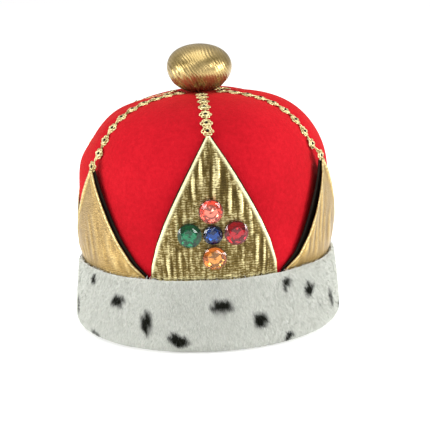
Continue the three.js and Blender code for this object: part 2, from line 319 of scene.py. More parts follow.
def make_tone_group():
    """Broad and fine unevenness of tone, between 0 and 1."""
    group, given, made = new_group(
        "uneven_tone",
        [("Vector", "NodeSocketVector", None), ("Broad", "NodeSocketFloat", 12.0),
         ("Fine", "NodeSocketFloat", 160.0)],
        [("Tone", "NodeSocketFloat")],
    )
    broad = noise_at(group, given.outputs["Vector"], given.outputs["Broad"])
    fine = noise_at(group, given.outputs["Vector"], given.outputs["Fine"])
    broad, fine = (math_node(group, "MULTIPLY", *part) for part in ((broad, 0.6), (fine, 0.4)))
    group.links.new(math_node(group, "ADD", broad, fine), made.inputs["Tone"])
    return group


def make_pile_group():
    """Height of short pile: tufts, and the hairs in them."""
    group, given, made = new_group(
        "short_pile",
        [("Vector", "NodeSocketVector", None), ("Tufts", "NodeSocketFloat", 500.0),
         ("Hairs", "NodeSocketFloat", 2200.0)],
        [("Height", "NodeSocketFloat")],
    )
    tufts = noise_at(group, given.outputs["Vector"], given.outputs["Tufts"], 2)
    hairs = noise_at(group, given.outputs["Vector"], given.outputs["Hairs"], 1)
    height = math_node(group, "ADD", tufts, math_node(group, "MULTIPLY", hairs, 0.7))
    group.links.new(height, made.inputs["Height"])
    return group


# %% The knit and the shared groups
DASH_SHAPE = 0.55                 # a dash of the knit is about 1 / this many rows long
DASH_SHIFT = 2.4                  # how many rows a dash may slip up or down


def make_knit_group():
    """Fine knit of metallic cloth on a UV map in metres: rows of loops, broken into dashes."""
    group, given, made = new_group(
        "fine_knit",
        [("Vector", "NodeSocketVector", None), ("Pitch", "NodeSocketFloat", 0.0012)],
        [("Height", "NodeSocketFloat")],
    )
    split = group.nodes.new("ShaderNodeSeparateXYZ")
    group.links.new(given.outputs["Vector"], split.inputs[0])
    across = math_node(group, "DIVIDE", split.outputs["X"], given.outputs["Pitch"])
    up = math_node(group, "DIVIDE", split.outputs["Y"], given.outputs["Pitch"])
    stretched = group.nodes.new("ShaderNodeCombineXYZ")
    group.links.new(math_node(group, "MULTIPLY", across, DASH_SHAPE), stretched.inputs[0])
    group.links.new(up, stretched.inputs[1])
    dash = noise_at(group, stretched.outputs[0], 1.0, 2)
    shifted = math_node(group, "ADD", up, math_node(group, "MULTIPLY", dash, DASH_SHIFT))
    bent = math_node(group, "MULTIPLY", shifted, 2 * math.pi)
    rows = math_node(group, "MULTIPLY", math_node(group, "SINE", bent), dash)
    height = math_node(group, "ADD", rows, math_node(group, "SUBTRACT", dash, 0.5))
    group.links.new(height, made.inputs["Height"])
    return group


TONE = make_tone_group()
PILE = make_pile_group()
KNIT = make_knit_group()
print("shared groups", [group.name for group in (TONE, PILE, KNIT)])

# %% [markdown]
# ## Tools for finishes
# Each finish starts from the same few nodes: a Principled shader, coordinates, a shared
# group, a ramp of colours and a bump. Numbers that are the same all over are set on the
# shader itself, and only what changes over the surface comes from nodes.

# %% Helpers for materials
def start_material(name, slot_colour, roughness):
    material = bpy.data.materials.new(name)
    material.use_nodes = True
    tree = material.node_tree
    surface = tree.nodes["Principled BSDF"]
    surface.inputs["Base Color"].default_value = (*slot_colour, 1)
    surface.inputs["Roughness"].default_value = roughness
    place = tree.nodes.new("ShaderNodeTexCoord")
    return material, tree, surface, place


def group_node(tree, group, vector, **inputs):
    node = tree.nodes.new("ShaderNodeGroup")
    node.node_tree = group
    tree.links.new(vector, node.inputs["Vector"])
    for name, value in inputs.items():
        node.inputs[name].default_value = value
    return node


def colours(tree, fac, stops):
    ramp = tree.nodes.new("ShaderNodeValToRGB")
    ramp.color_ramp.elements[0].position = stops[0][0]
    ramp.color_ramp.elements[0].color = (*stops[0][1], 1)
    ramp.color_ramp.elements[1].position = stops[-1][0]
    ramp.color_ramp.elements[1].color = (*stops[-1][1], 1)
    for position, colour in stops[1:-1]:
        element = ramp.color_ramp.elements.new(position)
        element.color = (*colour, 1)
    tree.links.new(fac, ramp.inputs["Fac"])
    return ramp.outputs["Color"]


def add_bump(tree, surface, height, distance, strength):
    bump = tree.nodes.new("ShaderNodeBump")
    bump.inputs["Distance"].default_value = distance
    bump.inputs["Strength"].default_value = strength
    tree.links.new(height, bump.inputs["Height"])
    tree.links.new(bump.outputs["Normal"], surface.inputs["Normal"])


def attribute(tree, name):
    node = tree.nodes.new("ShaderNodeAttribute")
    node.attribute_name = name
    return node.outputs["Fac"]


def blend(tree, fac, first, second):
    """A colour that goes from the first to the second as fac goes from 0 to 1."""
    mix = tree.nodes.new("ShaderNodeMix")
    mix.data_type = "RGBA"
    for socket, value in ((mix.inputs[0], fac), (mix.inputs[6], first), (mix.inputs[7], second)):
        if hasattr(value, "is_linked"):
            tree.links.new(value, socket)
        else:
            socket.default_value = (*value, 1) if hasattr(value, "__len__") else value
    return mix.outputs[2]


# %% [markdown]
# ## Velvet, fur and black cloth
# Velvet is a rough surface with a sheen, because its upright pile glows where it is seen
# from the side. The fur is a skin with hairs on it, and both read their black spots from the
# mesh, so that a hair has the colour of the skin under it. The spots could be a texture of
# their own, but then skin and hairs could disagree.

# %% Pile and plain cloth
def make_velvet():
    material, tree, surface, place = start_material("red_velvet", (0.56, 0.006, 0.014), 0.85)
    tone = group_node(tree, TONE, place.outputs["Object"], Broad=14.0, Fine=320.0)
    red = colours(tree, tone.outputs["Tone"], [
        (0.34, (0.36, 0.0028, 0.008)), (0.52, (0.45, 0.0042, 0.012)), (0.68, (0.53, 0.007, 0.016)),
    ])
    tree.links.new(red, surface.inputs["Base Color"])
    surface.inputs["Sheen Weight"].default_value = 0.2
    surface.inputs["Sheen Roughness"].default_value = 0.4
    surface.inputs["Sheen Tint"].default_value = (1.0, 0.12, 0.05, 1)
    surface.inputs["Specular IOR Level"].default_value = 0.08
    pile = group_node(tree, PILE, place.outputs["Object"], Tufts=420.0, Hairs=1900.0)
    add_bump(tree, surface, pile.outputs["Height"], 0.0005, 0.7)
    return material


def make_fur_skin(name):
    """White fur with black spots: the mesh says where, in its attribute spot."""
    material, tree, surface, place = start_material(name, (0.8, 0.8, 0.77), 0.9)
    tone = group_node(tree, TONE, place.outputs["Object"], Broad=60.0, Fine=700.0)
    white = colours(tree, tone.outputs["Tone"], [
        (0.35, (0.46, 0.47, 0.43)), (0.5, (0.58, 0.59, 0.55)), (0.65, (0.66, 0.67, 0.63)),
    ])
    spotted = blend(tree, attribute(tree, "spot"), white, (0.012, 0.012, 0.010))
    tree.links.new(spotted, surface.inputs["Base Color"])
    surface.inputs["Sheen Weight"].default_value = 0.3
    surface.inputs["Specular IOR Level"].default_value = 0.15
    pile = group_node(tree, PILE, place.outputs["Object"], Tufts=260.0, Hairs=1400.0)
    add_bump(tree, surface, pile.outputs["Height"], 0.0008, 0.8)
    return material


def make_hair():
    """White hairs of the band, black where they grow from a spot."""
    material, tree, surface, _ = start_material("fur_hair", (0.6, 0.6, 0.56), 0.8)
    white = colours(tree, attribute(tree, "shade"), [
        (0.0, (0.50, 0.52, 0.47)), (1.0, (0.74, 0.75, 0.70)),
    ])
    spotted = blend(tree, attribute(tree, "spot"), white, (0.006, 0.007, 0.003))
    tree.links.new(spotted, surface.inputs["Base Color"])
    surface.inputs["Specular IOR Level"].default_value = 0.1
    return material


def make_black_cloth():
    material, tree, surface, place = start_material("black_cloth", (0.012, 0.007, 0.004), 0.85)
    tone = group_node(tree, TONE, place.outputs["Object"], Broad=40.0, Fine=900.0)
    black = colours(tree, tone.outputs["Tone"], [
        (0.35, (0.006, 0.004, 0.003)), (0.65, (0.020, 0.012, 0.007)),
    ])
    tree.links.new(black, surface.inputs["Base Color"])
    surface.inputs["Specular IOR Level"].default_value = 0.15
    pile = group_node(tree, PILE, place.outputs["Object"], Tufts=900.0, Hairs=2600.0)
    add_bump(tree, surface, pile.outputs["Height"], 0.0002, 0.5)
    return material


velvet = make_velvet()
fur_skin = make_fur_skin("white_fur")
fur_hair = make_hair()
black_cloth = make_black_cloth()
print("cloths", [made.name for made in (velvet, fur_skin, fur_hair, black_cloth)])

# %% [markdown]
# ## Gold cloth and gold thread
# Gold cloth is knitted from metallic thread, so it is a metal whose knit and creases break
# its reflection up. Its colour follows the height of its creases, which the mesh gives in
# the attribute ridge: painted shade darkens a fold and a painted highlight makes a ridge
# pale. The front point has a copy of the finish with painted shade and painted highlights:
# darker, because it faces the dark side of the room, with stronger painted streaks and a
# paler hem. The knob's ribs lean, so they are waves across a slanted direction instead of
# rows up a UV map.

# %% Gold
STREAKS = (430, 80, 1)            # fine streaks of painted highlight and shade up the cloth, to each metre
RIB_LEAN = (0.86, 0.1, 0.5)       # the direction across the knob's ribs
RIB_TURNS = 3000.0                # radians to each metre: a rib every 2.1 mm


def make_lame(name, colours_of, hem, spread, ribs, broken):
    """Gold knitted cloth: a metal, with painted shade in its folds and a painted highlight on
    its ridges, and pale on rolled hems. Broken says how much its rows of loops break up the
    painted light on a ridge."""
    material, tree, surface, place = start_material(name, colours_of[-1], 0.34)
    tone = group_node(tree, TONE, place.outputs["Object"], Broad=60.0, Fine=900.0)
    knit = group_node(tree, KNIT, place.outputs["UV"], Pitch=ribs)
    # painted streaks: stretched noise lightens and darkens the colour in fine streaks up the cloth,
    # standing in for streak highlights
    stretched = tree.nodes.new("ShaderNodeMapping")
    stretched.inputs["Scale"].default_value = STREAKS
    tree.links.new(place.outputs["UV"], stretched.inputs["Vector"])
    streaks = noise_at(tree, stretched.outputs[0], 1.0, 2)
    uneven, streaks = (
        math_node(tree, "MULTIPLY", math_node(tree, "SUBTRACT", part, 0.5), spread)
        for part in (tone.outputs["Tone"], streaks)
    )
    # painted light: the ridge mask, broken by the knit, makes a painted highlight on ridges and
    # painted shade in folds
    dashes = math_node(tree, "MULTIPLY", knit.outputs["Height"], broken)
    lit = math_node(tree, "MULTIPLY", attribute(tree, "ridge"), math_node(tree, "ADD", dashes, 1.0))
    rows = math_node(tree, "ADD", math_node(tree, "ADD", lit, uneven), streaks)
    gold = colours(tree, rows, list(zip((0.2, 0.5, 0.95), colours_of)))
    gold = blend(tree, attribute(tree, "hem"), gold, hem)
    tree.links.new(gold, surface.inputs["Base Color"])
    surface.inputs["Metallic"].default_value = 0.9
    fine = noise_at(tree, place.outputs["Object"], 1900.0, 1)
    both = math_node(tree, "ADD", knit.outputs["Height"], fine)
    add_bump(tree, surface, both, 0.0003, 0.6)
    return material


def make_knob_lame():
    """The same cloth stretched over a ball, so that its ribs run round it in slanted rows."""
    material, tree, surface, place = start_material("gold_lame_knob", (0.7, 0.5, 0.2), 0.3)
    tone = group_node(tree, TONE, place.outputs["Object"], Broad=70.0, Fine=1300.0)
    across = tree.nodes.new("ShaderNodeVectorMath")
    across.operation = "DOT_PRODUCT"
    across.inputs[1].default_value = RIB_LEAN
    tree.links.new(place.outputs["Object"], across.inputs[0])
    bent = noise_at(tree, place.outputs["Object"], 30.0, 2)
    turns = math_node(tree, "ADD", math_node(tree, "MULTIPLY", across.outputs["Value"], RIB_TURNS),
                      math_node(tree, "MULTIPLY", bent, 22.0))
    worn = noise_at(tree, place.outputs["Object"], 75.0, 2)
    depth = math_node(tree, "MULTIPLY", math_node(tree, "SUBTRACT", worn, 0.25), 2.0)
    ribs = math_node(tree, "MULTIPLY", math_node(tree, "SINE", turns), depth)
    rows = math_node(tree, "ADD", tone.outputs["Tone"], math_node(tree, "MULTIPLY", ribs, 0.07))
    gold = colours(tree, rows, [(0.34, (0.20, 0.14, 0.040)), (0.62, (0.54, 0.40, 0.17))])
    tree.links.new(gold, surface.inputs["Base Color"])
    surface.inputs["Metallic"].default_value = 0.8
    add_bump(tree, surface, ribs, 0.0003, 0.5)
    return material


def make_thread():
    """Gold thread of the braid, and the dark bead in the middle of each rosette."""
    material, tree, surface, place = start_material("gold_thread", (0.85, 0.70, 0.40), 0.28)
    tone = group_node(tree, TONE, place.outputs["Object"], Broad=260.0, Fine=1800.0)
    gold = colours(tree, tone.outputs["Tone"], [
        (0.40, (0.31, 0.235, 0.07)), (0.54, (0.86, 0.75, 0.40)),
    ])
    gold = blend(tree, attribute(tree, "eye"), gold, (0.012, 0.010, 0.003))
    tree.links.new(gold, surface.inputs["Base Color"])
    surface.inputs["Metallic"].default_value = 0.7
    fibres = noise_at(tree, place.outputs["Object"], 2600.0, 1)
    add_bump(tree, surface, fibres, 0.0002, 0.5)
    return material


lame = make_lame(
    "gold_lame", ((0.16, 0.10, 0.024), (0.35, 0.23, 0.075), (0.54, 0.395, 0.16)),
    hem=(0.64, 0.54, 0.26), spread=0.5, ribs=0.0016, broken=0.3,
)
# the front point's copy of the cloth: its colours darkened as painted shade for the dark side of
# the room that it faces, its light end and hem paler as painted highlights
lame_front_painted_light = make_lame(
    "gold_lame_front", ((0.06, 0.040, 0.010), (0.155, 0.108, 0.030), (0.78, 0.69, 0.36)),
    hem=(0.98, 0.92, 0.55), spread=1.0, ribs=0.0019, broken=0.5,
)
lame_knob = make_knob_lame()
thread = make_thread()
print("golds", [made.name for made in (lame, lame_front_painted_light, lame_knob, thread)])

# %% [markdown]
# ## The red dome
# Six gores of velvet, sewn together and puffed by their padding. The solid already has the
# sags and swells of the gores. The copy is rounded, then gets what a needle does: a valley
# along each seam, small puckers where the braid is stitched down, and broad soft unevenness.
# A cloth simulation could puff the gores as well, but it can't be told how deep each valley
# is in the photo, and a table can.

# %% Dome
SEAM = math.tau / len(POINTS)
PUCKER_PITCH = 5.4 * MM
PUCKER_DEPTH = 0.35 * MM
PUCKER_REACH = 9 * MM
SWELLING = 0.35 * MM
SWELLING_SIZE = 60 * MM
VALLEY_REACH = 8 * MM
VALLEY_DEPTHS = {                 # mm
    "front": 0.3, "right": 0.5, "back_right": 1.9, "back": 1.0, "back_left": 2.0, "left": 0.5,
}
VALLEY_FOOT = (0.13, 0.15)        # heights where a valley begins and is full
SEWN_FOOT = (0.062, 0.08)         # below this the cloth lies hidden in the band
UNDER_KNOB = (0.02, 0.03)         # radii where the sewn detail ends, under the knob
ARC_MIDDLE = (0.05, 0.1, 0.08)    # lengths up a seam are measured round this


def make_dome():
    dome = rounded_copy("dome", "red_dome", 2)
    places = corners(dome.data)
    ways = normals(dome.data)
    height = places[:, 2]
    angle = angles(places)
    radius = np.hypot(places[:, 0], places[:, 1])
    seam = np.round(angle / SEAM)
    from_seam = np.abs(angle - seam * SEAM) * radius
    outer = (places * ways).sum(1) > 0
    aside, middle, low = ARC_MIDDLE
    along = np.hypot(radius - aside, height - middle) * np.arctan2(height - low, radius)
    pucker = np.sin(along * math.tau / PUCKER_PITCH) * np.exp(-((from_seam / PUCKER_REACH) ** 2))
    soft = waves(*places.T, seed=4, size=SWELLING_SIZE)
    depth = np.array([VALLEY_DEPTHS[name] for name in POINTS])[seam.astype(int) % len(POINTS)]
    valley = depth * np.exp(-((from_seam / VALLEY_REACH) ** 2)) * smooth(*VALLEY_FOOT, height)
    sewn = smooth(*SEWN_FOOT, height) * smooth(*UNDER_KNOB, radius)
    rise = (PUCKER_DEPTH * pucker + SWELLING * soft - valley * MM) * sewn * outer
    move_corners(dome.data, places + ways * rise[:, None])
    dome.data.materials.append(velvet)
    return dome


dome = make_dome()
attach(dome, "root")
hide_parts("dome")
print("dome faces", len(dome.data.polygons))

# %% [markdown]
# ## The fur band
# A padded strip of short white fur, folded under the rim. The skin is a rounded copy of the
# solid with a soft lumpy surface and a lower edge that rolls under. The spots are charted one
# row each, as places on the band in degrees and millimetres. Their edges are made ragged by
# seeded waves.

# %% Fur band
SPOTS = [
    # turn in degrees, height, width, length in mm, tilt in degrees, blackness
    (-62, 50, 6.5, 7, 10, 1.0), (-80, 41, 4, 3.5, 0, 0.9), (-81, 21, 7, 12.5, 0, 1.0),
    (-45.4, 38.5, 13.5, 8.5, -8, 1.0), (-30, 24, 8.4, 16, 4, 1.0), (-16.3, 12.7, 15, 10, 14, 1.0),
    (-63, 7, 10, 5.5, 0, 0.8), (2, 37.4, 14, 11.5, -22, 1.0), (19, 23.8, 11.5, 9.6, -10, 1.0),
    (32.8, 8, 7.5, 7, 20, 1.0), (32.8, 48.2, 7, 9.5, 38, 1.0), (45.5, 39.8, 8.5, 11, -6, 1.0),
    (52, 24, 6, 6, 0, 0.16), (63, 24.3, 4.5, 14, -18, 1.0), (78, 12.4, 6, 8.5, -30, 0.9),
    (88, 36, 9, 12, 12, 1.0), (101, 18, 12, 9, 0, 1.0), (116, 43, 8, 12, -14, 1.0),
    (129, 14, 10, 13, 20, 1.0), (141, 34, 13, 9, 0, 1.0), (158, 47, 8, 8, 30, 1.0),
    (166, 20, 9, 14, -10, 1.0), (183, 37, 12, 10, 8, 1.0), (199, 11, 12, 9, -20, 1.0),
    (212, 44, 8, 12, 0, 1.0), (226, 24, 12, 10, 14, 1.0), (243, 41, 9, 13, -12, 1.0),
    (256, 14, 11, 8, 0, 1.0), (268, 33, 8, 11, 20, 1.0),
]
BAND_RADIUS = 0.1035
SKIN_START = 0.0985               # what lies further in is the turned-in side
BAND_BRIM = (0.0545, 0.0995)      # height and radius from which the top edge counts as fur
ROLL_DEPTH = 4.5 * MM             # how far the band's lower edge rolls under
ROLL_HEIGHT = 13 * MM
SPOT_GROWTH = 1.08
SPOT_EDGE = 0.14
SPOT_WAVES = [(0.12, 0.007), (0.09, 0.003)]     # depth as a share of the spot, size in metres
LUMPS = [(0.5, 0.03), (0.3, 0.012)]             # depth as a share of the whole, size in metres
LUMP_DEPTH = 0.5 * MM


def spot_mask(places, seed=11):
    """How black the fur is at each place, from 0 to 1."""
    angle = angles(places)
    ragged = sum(
        depth * waves(*places.T, seed=seed + k, size=size)
        for k, (depth, size) in enumerate(SPOT_WAVES)
    )
    black = np.zeros(len(places))
    for turn, height, width, length, tilt, depth in SPOTS:
        away = angle - math.radians(turn)
        across = np.angle(np.exp(1j * away)) * BAND_RADIUS / MM
        up = places[:, 2] / MM - height
        lean = math.radians(tilt)
        right = across * math.cos(lean) - up * math.sin(lean)
        top = across * math.sin(lean) + up * math.cos(lean)
        reach = 2 * np.hypot(right / width, top / length) / SPOT_GROWTH + ragged
        black = np.maximum(black, depth * (1 - smooth(1 - SPOT_EDGE, 1 + SPOT_EDGE, reach)))
    return black


def make_band():
    band = rounded_copy("fur_band", "fur_skin", 2)
    places = corners(band.data)
    ways = normals(band.data)
    radius = np.hypot(places[:, 0], places[:, 1])
    outer = smooth(SKIN_START, 0.1, radius) * smooth(1 * MM, 5 * MM, places[:, 2])
    lumps = sum(
        depth * waves(*places.T, seed=2 + k, size=size) for k, (depth, size) in enumerate(LUMPS)
    )
    places = places + ways * (lumps * outer * LUMP_DEPTH)[:, None]
    low = np.clip(1 - places[:, 2] / ROLL_HEIGHT, 0, 1) ** 2
    roll = ROLL_DEPTH * low * smooth(0.094, 0.1, radius)
    places[:, :2] *= (1 - roll / radius)[:, None]
    places[:, 2] += 0.5 * roll * (places[:, 2] > 0.5 * MM)
    move_corners(band.data, places)
    places = corners(band.data)
    facing = (ways[:, 0] * places[:, 0] + ways[:, 1] * places[:, 1]) / radius
    store(band.data, "spot", spot_mask(places))
    side = smooth(-0.1, 0.5, facing) * (radius > SKIN_START)
    brim = (places[:, 2] > BAND_BRIM[0]) * (radius > BAND_BRIM[1])
    store(band.data, "pile", np.maximum(side, brim) * (ways[:, 2] > -0.9))
    band.data.materials.append(fur_skin)
    return band


band = make_band()
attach(band, "root")
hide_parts("fur_band")
print("band faces", len(band.data.polygons))

# %% [markdown]
# ## Reading a curved panel off a solid
# A gold point is cloth bent round the dome. Its solid has flat facets, so its edges and its
# radius are read on a fine grid: rows up the point, columns from edge to edge. Smoothing
# that grid takes the facets away, and a fold is then only a number added to the radius. A
# subdivided copy would round the facets too, but it has no rows and columns to fold along.

# %% Panels
WALL = 97.4 * MM
BAND_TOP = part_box("fur_band")[1][2]
RAY_START = 0.15
RAY_SHARE = 0.985                 # rays stay this far inside the edges, where they can't miss


def outline_of(mesh, heights, middle):
    """Angles of a node's two edges at each height, from where its mesh edges cross it."""
    places = corners(mesh)
    ends = np.empty(len(mesh.edges) * 2, dtype=np.int32)
    mesh.edges.foreach_get("vertices", ends)
    low, high = places[ends[0::2]], places[ends[1::2]]
    edges = []
    for z in heights:
        across = (low[:, 2] - z) * (high[:, 2] - z) < 0
        share = ((z - low[across, 2]) / (high[across, 2] - low[across, 2]))[:, None]
        turn = angles(low[across] + share * (high[across] - low[across])) - middle
        turn = (turn + math.pi) % math.tau - math.pi
        edges.append((turn.min(), turn.max()))
    return np.array(edges).T


def radius_reader(node):
    """A function that gives the outermost radius of a node at an angle and height."""
    work = bare_mesh(node)
    tree = BVHTree.FromBMesh(work)
    work.free()

    def read(angle, height):
        way = Vector((math.sin(angle), -math.cos(angle), 0))
        hit = tree.ray_cast(way * RAY_START + Vector((0, 0, height)), -way, RAY_START)[0]
        return math.nan if hit is None else math.hypot(hit.x, hit.y)

    return read


def filled(values):
    """The row of numbers with its gaps bridged from the nearest known ones."""
    known = np.flatnonzero(~np.isnan(values))
    return np.interp(np.arange(len(values)), known, values[known]) if len(known) else values


def blurred(grid, rounds):
    for _ in range(rounds):
        wide = np.pad(grid, 1, mode="edge")
        beside = wide[:-2, 1:-1] + wide[2:, 1:-1] + wide[1:-1, :-2] + wide[1:-1, 2:]
        grid = 0.5 * grid + 0.125 * beside
    return grid


def read_panel(node, middle, columns, rows, rounds=16):
    """Angles, heights, radii and distances on a grid over a point's outer face."""
    low, high = (Vector(corner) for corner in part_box(node))
    heights = np.linspace(low.z + 0.3 * MM, high.z - 0.2 * MM, rows + 1)
    left, right = outline_of(nodes[node].data, heights, middle)
    left, right = (blurred(edge[:, None], 6)[:, 0] for edge in (left, right))
    side = np.sin(np.linspace(-1, 1, columns + 1) * math.pi / 2)
    turn = np.where(side < 0, -left[:, None], right[:, None]) * side
    height = np.repeat(heights[:, None], columns + 1, axis=1)
    read = radius_reader(node)
    radius = np.array([
        filled(np.array([read(middle + RAY_SHARE * a, z) for a, z in zip(*line)]))
        for line in zip(turn, height)
    ])
    radius = blurred(np.apply_along_axis(filled, 0, radius), rounds)
    spine = radius[:, columns // 2]
    along = np.r_[0, np.cumsum(np.hypot(np.diff(spine), np.diff(heights)))]
    start = np.interp(BAND_TOP, heights, along)
    up = np.clip((along - start) / (along[-1] - start), 0, 1)
    return {
        "angle": middle + turn, "height": height, "radius": radius,
        "across": turn * WALL, "up": np.broadcast_to(up[:, None], turn.shape),
        "edge": np.minimum(turn - left[:, None], right[:, None] - turn) * radius,
        "along": np.broadcast_to(along[:, None], turn.shape),
    }


# %% [markdown]
# A panel becomes cloth when its grid is placed twice, at an outer and an inner distance, and
# a wall closes the two sides round their rim. A single surface would be lighter, but cloth
# has two sides and a thickness, and an edge seen from the side shows it. The UV map is in
# metres along the cloth, so that the knit has its real pitch.

# %% Sheets from panels
def place_grid(panel, off):
    """Places on the panel, moved off it by a number for each grid point."""
    turned_by = (np.sin(panel["angle"]), -np.cos(panel["angle"]))
    at = np.stack([panel["radius"] * way for way in turned_by] + [panel["height"]], -1)
    way = np.cross(np.gradient(at, axis=1), np.gradient(at, axis=0))
    way /= np.linalg.norm(way, axis=2, keepdims=True)
    return at + way * np.asarray(off)[..., None]


def grid_faces(index):
    """The four corners of each cell of a grid of corner numbers."""
    cells = [index[:-1, :-1], index[:-1, 1:], index[1:, 1:], index[1:, :-1]]
    return np.stack(cells, -1).reshape(-1, 4)


def add_uv(mesh, uv):
    layer = mesh.uv_layers.new(name="cloth")
    loops = np.empty(len(mesh.loops), dtype=np.int32)
    mesh.loops.foreach_get("vertex_index", loops)
    layer.data.foreach_set("uv", np.ascontiguousarray(uv[loops], dtype=np.float32).ravel())


def panel_mesh(name, panel, outer, inner, masks):
    """A closed sheet between two grids of places, with a UV map in metres and masks."""
    rows, columns = panel["angle"].shape
    count = rows * columns
    index = np.arange(count).reshape(rows, columns)
    front = grid_faces(index)
    rim = np.concatenate([index[0, :], index[1:, -1], index[-1, -2::-1], index[-2:0:-1, 0]])
    after = np.roll(rim, -1)
    wall = np.stack([rim + count, after + count, after, rim], -1)
    mesh = bpy.data.meshes.new(name)
    places = np.concatenate([outer.reshape(-1, 3), inner.reshape(-1, 3)])
    faces = np.concatenate([front, front[:, ::-1] + count, wall])
    mesh.from_pydata(places.tolist(), [], faces.tolist())
    uv = np.stack([panel["across"], panel["along"]], -1).reshape(-1, 2)
    add_uv(mesh, np.concatenate([uv, uv]))
    for label, mask in masks.items():
        store(mesh, label, np.tile(mask.ravel(), 2))
    mesh.shade_smooth()
    mesh.update()
    return link(bpy.data.objects.new(name, mesh))


# %% [markdown]
# ## The gold points
# Gold cloth cut to a tall triangle, its edges turned in and its foot gathered into the seam
# with the band. The turned edge is a thin raised roll, widest half way up, the foot has
# short gathers, and soft creases run down the cloth. On the front point they are charted one
# by one, and on the others they are drawn from a seed, so that no two points crease alike.
# Two masks go with the mesh: ridge is painted light, a painted highlight where cloth is
# stretched over a crease and painted shade in a fold, and hem says where its edge is rolled.

# %% Gold points
FRONT_CREASES = [
    # mm right of the middle, from and to as shares of the height, width and depth in mm, slant
    (5.2, 0.62, 0.96, 2.8, 1.00, 9), (2.2, 0.58, 0.86, 1.7, 0.65, 4),
    (-7.0, 0.70, 0.90, 1.5, 0.80, 0), (-12.6, 0.58, 0.80, 1.6, 0.85, -3),
    (13.0, 0.48, 0.64, 1.8, 0.90, 6), (19.0, 0.56, 0.70, 1.4, 0.80, -4),
    (21.0, 0.44, 0.64, 1.8, 0.90, 2), (37.5, 0.26, 0.42, 1.8, 0.80, -8),
    (32.0, 0.10, 0.28, 1.5, 0.90, 0), (37.5, 0.05, 0.24, 1.4, 0.80, 0),
    (-33.0, 0.03, 0.17, 1.5, 0.90, 3), (-40.0, 0.24, 0.40, 1.6, 0.50, 6),
    (-24.5, 0.08, 0.22, 1.3, 0.50, 3), (-16.0, 0.12, 0.26, 1.2, 0.50, 4),
    (21.5, 0.10, 0.27, 1.2, 0.50, 0), (28.0, 0.30, 0.50, 1.6, 0.45, -4),
    (-26.0, 0.34, 0.56, 2.0, 0.40, 2), (11.0, 0.04, 0.16, 1.3, 0.40, 0),
]
SIDE_CREASES = 11
HEM_WIDTH = 1.9 * MM
HEM_RISE = 0.5 * MM
LAME_WALL = 0.9 * MM
GATHER_PITCH = 4.2 * MM
GATHER_DEPTH = 0.22 * MM
DRAPE_DEPTH = 0.3 * MM
STITCH_PITCH = 3.3 * MM
STITCH_GROOVE = 0.25 * MM
CREASE_SPAN = 1.4 * MM            # a rise of half of this turns cloth from half lit to lit
FOOT_STRIP = 0.2                  # extra light on the flat strip along the foot
HEM_BOW = (0.62, 0.36)            # width of the front hem at its ends, and what it gains
POINT_KINDS = {
    # grid of the sheet, how narrow a crease is against the chart, how dark its stitches are
    "front": {"grid": (100, 130), "narrow": 0.72, "stitch_dark": 0.2},
    "side": {"grid": (64, 84), "narrow": 1, "stitch_dark": 0.75},
}


def bell(x):
    """1 where x is 0, falling to nearly 0 at 2 on either side."""
    return np.exp(-(x ** 2))


def side_creases(seed):
    """Creases of a point that is seen from the side: long, shallow and evenly spread."""
    chance = np.random.default_rng(seed)
    rows = []
    for place in np.linspace(-40, 40, SIDE_CREASES):
        reach = 0.86 - abs(place) / 52
        start = chance.uniform(0.0, 0.25) * reach
        rows.append((
            place + chance.uniform(-3, 3), start, start + chance.uniform(0.35, 0.75) * reach,
            chance.uniform(1.6, 3.2), chance.uniform(0.25, 0.6), chance.uniform(-6, 6),
        ))
    return rows


def crease_height(panel, creases, narrow):
    across, up = panel["across"] / MM, panel["up"]
    total = np.zeros_like(up)
    for place, start, end, width, depth, slant in creases:
        away = (across - place - slant * (up - (start + end) / 2)) / (width * narrow)
        fade = min(0.08, (end - start) / 3)
        length = smooth(start - fade, start + fade, up) * (1 - smooth(end - fade, end + fade, up))
        valleys = bell(away - 1.7) + bell(away + 1.7)
        total += depth * (bell(away) - 0.4 * valleys) * length
    return total * MM


